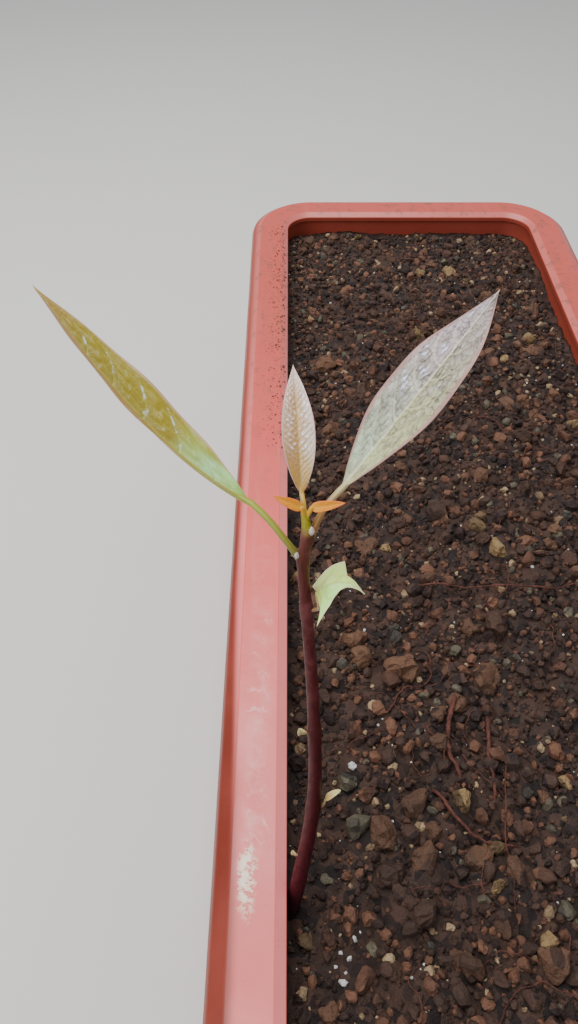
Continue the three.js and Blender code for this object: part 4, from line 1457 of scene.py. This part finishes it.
def stalk_tube(leaf, stem_sizes, sides=16):
    """A tube along the stalk and midrib, hollowed along its upper side."""
    line, radii, down, face = stalk_line(leaf, stem_sizes)
    forward = unit(np.gradient(line, axis=0))
    up = unit(face - forward * np.sum(face * forward, 1, keepdims=True))
    left = np.cross(up, forward)
    turns = 2 * math.pi * np.arange(sides) / sides
    groove = 1 - 0.22 * np.clip(np.sin(turns), 0, 1)[None, :] ** 6 * (down < 0.55)[:, None]
    reach = radii[:, None] * groove
    points = line[:, None] + left[:, None] * (reach * np.cos(turns))[..., None]
    points = points + up[:, None] * (reach * np.sin(turns))[..., None]
    down = down[:, None]
    under_blade = eased(down, 0.5, 0.53)
    marks = marks_of(
        points,
        along=np.clip(2 * down - 1, 0, 1),
        vein=under_blade,
        stalk=1 - 0.7 * under_blade,
        down=down,
    )
    return points, marks


def leaf_mesh(name, leaf, veins, sizes, material, rows, columns):
    """Blade and stalk as one mesh, with its marks and a flat plan of the blade."""
    thickness = sizes.leaves.thickness / MM * min(1, 0.4 + leaf["half_width"] / 14)
    parts = [blade(leaf, veins, thickness, rows, columns), stalk_tube(leaf, sizes.stem)]
    points, faces, first = [], [], 0
    for rings, _ in parts:
        points.append(rings.reshape(-1, 3))
        faces += ring_faces(rings.shape[0], rings.shape[1], first)
        first += rings.shape[0] * rings.shape[1]
    mesh = mesh_of(name, placed(np.vstack(points), sizes.soil.level), faces, material)
    marks = {key: np.concatenate([part[key].ravel() for _, part in parts]) for key in parts[0][1]}
    for key in LEAF_MARKS:
        number(mesh, key, marks[key])
    span = np.linalg.norm(np.subtract(leaf["tip"], leaf["base"]))
    plan = np.stack([marks["along"] * span, marks["across"] + UNDERSIDE_SHIFT * marks["under"]], 1)
    corners = np.zeros(len(mesh.loops), int)
    mesh.loops.foreach_get("vertex_index", corners)
    layer = mesh.uv_layers.new(name="blade")
    layer.uv.foreach_set("vector", plan[corners].astype(np.float32).ravel())
    return mesh


def bud_mesh(name, bud, sizes, material):
    """A pointed bud of two scales, pressed against the stem."""
    centre, along = stem_place(bud["height"])
    out = np.array([*bud["towards"], 0.0])
    out = unit(out - along * (out @ along))
    centre = centre + out * (stem_radius(bud["height"], sizes.stem) + 0.6 * bud["radius"])
    side = np.cross(along, out)
    rings, turns = 28, 2 * math.pi * np.arange(28) / 28
    shares = np.linspace(0.01, 0.99, rings)[:, None]
    profile = bud["radius"] * 1.06 * np.sin(math.pi * shares**0.75) ** 0.8
    scales = 1 - 0.16 * np.exp(-((np.sin(turns) / 0.22) ** 2)) * eased(shares, 0.25, 0.7)
    reach = profile * scales
    lift = bud["length"] * (shares - 0.5)
    points = (
        centre
        + (lift * np.ones_like(reach))[..., None] * (along + 0.12 * out)
        + (reach * np.cos(turns))[..., None] * out
        + (reach * np.sin(turns))[..., None] * -side
    )
    faces = ring_faces(rings, len(turns))
    mesh = mesh_of(name, placed(points.reshape(-1, 3), sizes.soil.level), faces, material)
    face_outwards(mesh)
    return mesh


# What the operators share


def add_leaf(name, kind, slot, finish, sizes, rows, columns):
    """Shows one leaf in place of its node, veined as its kind is."""
    mesh = leaf_mesh(name + "_blade", LEAVES[name], VEINS[kind], sizes, finish, rows, columns)
    face_outwards(mesh)
    new_piece(name + "_blade", mesh, slot, name)


def add_light(name, place, turn, size, power):
    """A soft square light, turned by degrees about each axis."""
    lamp = bpy.data.lights.new(name, "AREA")
    lamp.size = size
    lamp.energy = power
    light = bpy.data.objects.new(name, lamp)
    light.location = place
    light.rotation_euler = [math.radians(angle) for angle in turn]
    bpy.context.scene.collection.objects.link(light)


# Operators


class SEEDLING_OT_planter(bpy.types.Operator):
    """Builds the planter's wall, rim and floor"""

    bl_idname = "seedling.planter"
    bl_label = "Planter"
    bl_options = {"REGISTER", "UNDO"}

    def execute(self, context):
        planter = context.scene.seedling.planter
        section = [(-inset * MM, -height * MM, 0) for inset, height in rounded(wall_section(planter))]
        start = bpy.data.meshes.new("section")
        start.from_pydata(section, [(k, k + 1) for k in range(len(section) - 1)], [])
        mesh = rim_tree().grow(
            start,
            planter_plastic(planter),
            Width=2 * PLANTER_HIGH.x,
            Length=2 * PLANTER_HIGH.y,
            Corner=planter.corner,
            Steps=planter.corner_steps,
        )
        add_floor(mesh, planter)
        new_piece("planter_shell", mesh, "planter_plastic", "planter")
        return {"FINISHED"}


class SEEDLING_OT_soil(bpy.types.Operator):
    """Builds the soil with its crumbs, stones and fine roots"""

    bl_idname = "seedling.soil"
    bl_label = "Soil"
    bl_options = {"REGISTER", "UNDO"}

    def execute(self, context):
        sizes = context.scene.seedling
        soil = sizes.soil
        ground = soil_finish("soil_earth", soil.warm, soil.dark, 260)
        new_piece("soil_bed", soil_mesh(sizes.planter, soil, ground), "soil", "soil")
        tree = grit_tree()
        for order, (kind, (_, _, large, _, facets, light, dark)) in enumerate(GRIT.items()):
            places, stone_sizes = strewn(kind, order, soil)
            finish = soil_finish(kind + "_stone", light, dark, 700 / large)
            new_piece(kind, stones_mesh(tree, places, stone_sizes, facets, order, finish), "soil")
        finish = soil_finish("rim_dust_earth", 0x9A7460, 0x5E4438, 400)
        new_piece("rim_dust", stones_mesh(tree, *rim_dust(), 1, 77, finish), "soil")
        roots = line_mesh("rootlets", *rootlet_lines(soil))
        finish = soil_finish("rootlet_skin", soil.root, [0.4 * c for c in soil.root], 300, 2600, 0.7)
        new_piece("rootlets", tube_tree().grow(roots, finish, Sides=7, Relief=0.0003), "soil")
        return {"FINISHED"}


class SEEDLING_OT_stem(bpy.types.Operator):
    """Builds the stem with its bark"""

    bl_idname = "seedling.stem"
    bl_label = "Stem"
    bl_options = {"REGISTER", "UNDO"}

    def execute(self, context):
        sizes = context.scene.seedling
        line, radii = stem_line(sizes.stem)
        path = line_mesh("stem_path", [placed(line, sizes.soil.level)], [radii * MM])
        bark = stem_bark(sizes.stem, sizes.soil.level)
        mesh = tube_tree().grow(path, bark, Sides=sizes.stem.sides, Relief=sizes.stem.relief)
        face_outwards(mesh)
        new_piece("stem_with_bark", mesh, "stem_skin", "stem")
        return {"FINISHED"}


class SEEDLING_OT_left_leaf(bpy.types.Operator):
    """Builds the large glossy olive leaf"""

    bl_idname = "seedling.left_leaf"
    bl_label = "Left leaf"
    bl_options = {"REGISTER", "UNDO"}

    def execute(self, context):
        sizes = context.scene.seedling
        olive = sizes.leaves.olive
        finish = leaf_finish(
            "leaf_olive",
            # From 0.06 to 0.24 the pale bluish-green tones are painted sky reflection near the base; the
            # fringe keeps the blade's olive green at its edges there.
            tones=(
                (0.0, 0x7E9C2E),
                (0.06, 0x9CD070),
                (0.17, 0xAAE6A0),
                (0.24, 0xA4CC70),
                (0.33, olive),
                (0.75, olive),
                (1.0, 0xA06E1E),
            ),
            left_tones=((0.0, 0x8F9A34), (0.25, 0xA8903E), (0.45, 0xB98A64), (1.0, 0xBA8C7A)),
            fringe=0x98A024,
            shade=0x786400,
            net=(0xB0A63C, 0.34, 0.5),
            vein=0xB0AC44,
            vein_share=0.75,
            swell=0x9C8A08,
            glint=0xC9DCD0,
            glint_on="beside",
            glint_tops=(0.05, 0.55),
            glint_reach=(0.3, 0.8),
            glint_share=0.8,
            margin=0xC49E74,
            under=0xBC8C66,
            stalk=((0.0, 0x5E4A22), (0.12, 0x7E7A24), (0.5, 0x98A034), (1.0, 0xC09A50)),
            gloss=0.3,
            coat=0.12,
            shine=0.3,
            grain=0.2,
        )
        add_leaf("leaf_left", "leaf_left", "leaf_olive", finish, sizes, 300, 69)
        return {"FINISHED"}


class SEEDLING_OT_right_leaf(bpy.types.Operator):
    """Builds the large dusty mauve leaf"""

    bl_idname = "seedling.right_leaf"
    bl_label = "Right leaf"
    bl_options = {"REGISTER", "UNDO"}

    def execute(self, context):
        sizes = context.scene.seedling
        mauve = sizes.leaves.mauve
        finish = leaf_finish(
            "leaf_mauve",
            # The grey mauve tones are partly the leaf's own bronze and partly painted sky reflection.
            tones=((0.0, 0xBCB878), (0.12, 0xC2CA92), (0.35, 0xB6BA86), (0.7, mauve), (1.0, 0xB09CA8)),
            left_tones=(
                (0.0, 0xB0B88C),
                (0.15, 0xB4CCAA),
                (0.35, 0xA4AC94),
                (0.7, 0xAC969C),
                (1.0, 0xB09CAC),
            ),
            shade=0x6E5E52,
            mottle=0.4,
            net=(0x46342E, 0.86, 0.55),
            vein=0xE4DCB8,
            vein_share=0.7,
            swell=0xA09488,
            glint=0xDCE0FF,
            glint_tops=(0.38, 0.74),
            glint_scale=0.2,
            glint_patches=(0.42, 0.54),
            glint_reach=(0.45, 0.9),
            glint_share=1.0,
            right_glint=0.1,
            margin=0xAC827A,
            margin_band=(0.0, 1.05),
            under=0xA88870,
            stalk=((0.0, 0x84501E), (0.15, 0x987038), (0.5, 0xBAA874), (1.0, 0xC9B894)),
            gloss=0.34,
            coat=0.25,
            sheen=0.1,
        )
        add_leaf("leaf_right", "leaf_right", "leaf_mauve", finish, sizes, 300, 73)
        return {"FINISHED"}


class SEEDLING_OT_centre_leaf(bpy.types.Operator):
    """Builds the small quilted bronze leaf"""

    bl_idname = "seedling.centre_leaf"
    bl_label = "Centre leaf"
    bl_options = {"REGISTER", "UNDO"}

    def execute(self, context):
        sizes = context.scene.seedling
        bronze = sizes.leaves.bronze
        finish = leaf_finish(
            "leaf_bronze",
            # The right half's paler, whiter tones are partly the leaf's own colour and partly painted
            # highlight.
            tones=((0.0, 0xD09420), (0.15, 0xCCB060), (0.35, 0xE4D2BC), (0.8, 0xE8D2CA), (1.0, 0xE4C6C4)),
            left_tones=(
                (0.0, 0xD09420),
                (0.15, 0xD29C40),
                (0.4, 0xE0B48C),
                (0.6, bronze),
                (0.8, 0xE8C4B0),
                (1.0, 0xDCB8B0),
            ),
            core=0xD0A058,
            shade=0xA87850,
            mottle=0.3,
            net=(0x9C6448, 0.25, 0.9),
            vein=0xBFA860,
            vein_share=0.55,
            # The near-white swell and glint colours are painted highlights on the beads.
            swell=0xF4ECF0,
            glint=0xF4F4FF,
            glint_tops=(0.2, 0.6),
            glint_reach=(0.3, 0.95),
            glint_share=1.0,
            left_glint=0.7,
            margin=0xD9B4B4,
            under=0xB88E78,
            stalk=((0.0, 0xA89428), (0.5, 0xCC9C30), (1.0, 0xBFA858)),
            gloss=0.24,
            coat=0.5,
        )
        add_leaf("leaf_centre", "leaf_centre", "leaf_bronze", finish, sizes, 240, 61)
        return {"FINISHED"}


class SEEDLING_OT_pale_leaves(bpy.types.Operator):
    """Builds the pale leaf and the tiny pale leaves down the stem"""

    bl_idname = "seedling.pale_leaves"
    bl_label = "Pale leaves"
    bl_options = {"REGISTER", "UNDO"}

    def execute(self, context):
        sizes = context.scene.seedling
        pale = sizes.leaves.pale
        look = dict(
            tones=((0.0, 0xB0AC4C), (0.3, 0xC0FF88), (0.7, 0xCCFF94), (1.0, 0xE6E2B0)),
            left_tones=((0.0, 0xB0AC4C), (0.25, pale), (0.7, pale), (1.0, 0xE6E2B0)),
            shade=0xC8F070,
            mottle=0.06,
            net=(0xA8B858, 0.08, 0.8),
            vein=0xB4B054,
            vein_share=0.5,
            swell=0xF0FF98,
            glint=0xF2F2DC,
            glint_share=0.4,
            margin=0xEAE6B4,
            under=0xC2D898,
            stalk=((0.0, 0x8E5838), (0.3, 0xA88A50), (1.0, 0xACA440)),
            gloss=0.42,
            coat=0.2,
            sheen=0.55,
        )
        add_leaf("pale_leaf", "pale_leaf", "leaf_pale", leaf_finish("leaf_pale", **look), sizes, 130, 49)
        cream = ((0.0, 0xB8703C), (0.35, 0xE0B068), (0.7, 0xF0DC98), (1.0, 0xE8DC98))
        look.update(tones=cream, left_tones=cream, shade=0xD8A860, swell=0xF4E4A8, under=0xD8BC80)
        finish = leaf_finish("bud_leaf", **look)
        for name in ("bud_leaf_upper", "bud_leaf_middle", "bud_leaf_lower"):
            add_leaf(name, "young", "leaf_pale", finish, sizes, 60, 21)
        return {"FINISHED"}


class SEEDLING_OT_young_leaves(bpy.types.Operator):
    """Builds the two orange leaflets at the tip"""

    bl_idname = "seedling.young_leaves"
    bl_label = "Young leaves"
    bl_options = {"REGISTER", "UNDO"}

    def execute(self, context):
        sizes = context.scene.seedling
        young = sizes.leaves.young
        finish = leaf_finish(
            "leaf_young",
            tones=((0.0, 0xD89A2C), (0.3, young), (0.6, young), (1.0, 0xE87440)),
            shade=0xC88C10,
            net=(0xC87C2C, 0.15, 1.0),
            vein=0xE0A834,
            vein_share=0.3,
            swell=0xEA9410,
            glint=0xF6D8B8,
            glint_share=0.04,
            margin=0xEC7A48,
            margin_band=(0.0, 1.0),
            under=0xD8922C,
            stalk=((0.0, 0xB4982C), (0.5, 0xD8962C), (1.0, 0xE0902C)),
            gloss=0.45,
            coat=0.06,
            shine=0.25,
        )
        for name in ("young_leaf_left", "young_leaf_right"):
            add_leaf(name, "young", "leaf_young", finish, sizes, 80, 25)
        return {"FINISHED"}


class SEEDLING_OT_buds(bpy.types.Operator):
    """Builds the downy buds in the leaf joints"""

    bl_idname = "seedling.buds"
    bl_label = "Buds"
    bl_options = {"REGISTER", "UNDO"}

    def execute(self, context):
        sizes = context.scene.seedling
        down = sizes.leaves.down
        finish = Finish("bud_scales", Sheen_Weight=0.8, Sheen_Roughness=0.35)
        tone = finish.noise(1800, 3.0)
        finish.set("Base Color", finish.mix(tone, down, 0xA98F80))
        finish.set("Roughness", finish.level(tone, 0.3, 0.7, 0.5, 0.8))
        finish.bump(tone, 0.4, 0.0001)
        hair_finish = Finish("bud_hair", Sheen_Weight=0.5, Sheen_Roughness=0.3)
        shade = hair_finish.noise(3000, 1.0)
        hair_finish.set("Base Color", hair_finish.mix(shade, 0xF2EEEC, down))
        hair_finish.set("Roughness", hair_finish.level(shade, 0.3, 0.7, 0.5, 0.7))
        tree = down_tree()
        for seed, (name, bud) in enumerate(BUDS.items()):
            mesh = bud_mesh(name + "_scales", bud, sizes, finish.material)
            hair = dict(Density=3.2e7, Length=sizes.leaves.hair, Seed=seed)
            hairs = tree.grow(mesh.copy(), hair_finish.material, **hair)
            new_piece(name + "_scales", mesh, "bud_down", name)
            new_piece(name + "_hair", hairs, "bud_down")
        return {"FINISHED"}


class SEEDLING_OT_stage(bpy.types.Operator):
    """Sets the floor, the soft lights and the camera"""

    bl_idname = "seedling.stage"
    bl_label = "Stage"
    bl_options = {"REGISTER", "UNDO"}

    def execute(self, context):
        stage = context.scene.seedling.stage
        scene = context.scene
        finish = Finish("stage_floor", Roughness=0.8)
        fleck = finish.noise(6, 4.0)
        finish.set("Base Color", finish.mix(finish.both(fleck, 0.08), stage.ground, 0xC4C0BA))
        turns = ((-1, -1), (1, -1), (1, 1), (-1, 1))
        corners = [(FLOOR_HALF * x, FLOOR_HALF * y, -FLOOR_DROP) for x, y in turns]
        floor = bpy.data.objects.new("floor", mesh_of("floor", corners, [(0, 1, 2, 3)], finish.material))
        scene.collection.objects.link(floor)
        add_light("soft_light", (-0.3, 0.35, 1.5), (-12, -10, 0), 0.8, stage.soft_light)
        add_light("side_light", (-1.1, -0.7, 1.1), (35, -42, 0), 1.0, stage.side_light)
        world = bpy.data.worlds.new("sky")
        world.use_nodes = True
        background = world.node_tree.nodes["Background"]
        background.inputs["Color"].default_value = (0.9, 0.94, 1.0, 1)
        background.inputs["Strength"].default_value = stage.sky
        scene.world = world
        camera = bpy.data.objects.new("camera", bpy.data.cameras.new("camera"))
        camera.data.lens = CAMERA_LENS
        camera.data.clip_start = 0.01
        camera.location = CAMERA_PLACE
        camera.rotation_euler = (math.radians(CAMERA_TILT), 0, 0)
        scene.collection.objects.link(camera)
        scene.camera = camera
        return {"FINISHED"}


STEPS = (
    SEEDLING_OT_planter,
    SEEDLING_OT_soil,
    SEEDLING_OT_stem,
    SEEDLING_OT_left_leaf,
    SEEDLING_OT_right_leaf,
    SEEDLING_OT_centre_leaf,
    SEEDLING_OT_pale_leaves,
    SEEDLING_OT_young_leaves,
    SEEDLING_OT_buds,
    SEEDLING_OT_stage,
)


class SEEDLING_PT_panel(bpy.types.Panel):
    """Lists the pieces of the seedling"""

    bl_idname = "SEEDLING_PT_panel"
    bl_label = "Potted avocado seedling"
    bl_space_type = "VIEW_3D"
    bl_region_type = "UI"
    bl_category = "Seedling"

    def draw(self, context):
        for step in STEPS:
            self.layout.operator(step.bl_idname, text=step.bl_label)


CLASSES = (
    PlanterSizes,
    SoilSizes,
    StemSizes,
    LeafSizes,
    StageSizes,
    SeedlingSizes,
    *STEPS,
    SEEDLING_PT_panel,
)


def register():
    for cls in CLASSES:
        bpy.utils.register_class(cls)
    bpy.types.Scene.seedling = PointerProperty(type=SeedlingSizes)


def unregister():
    del bpy.types.Scene.seedling
    for cls in reversed(CLASSES):
        bpy.utils.unregister_class(cls)


def main():
    register()
    for step in STEPS:
        getattr(bpy.ops.seedling, step.bl_idname.partition(".")[2])()


if __name__ == "__main__":
    main()
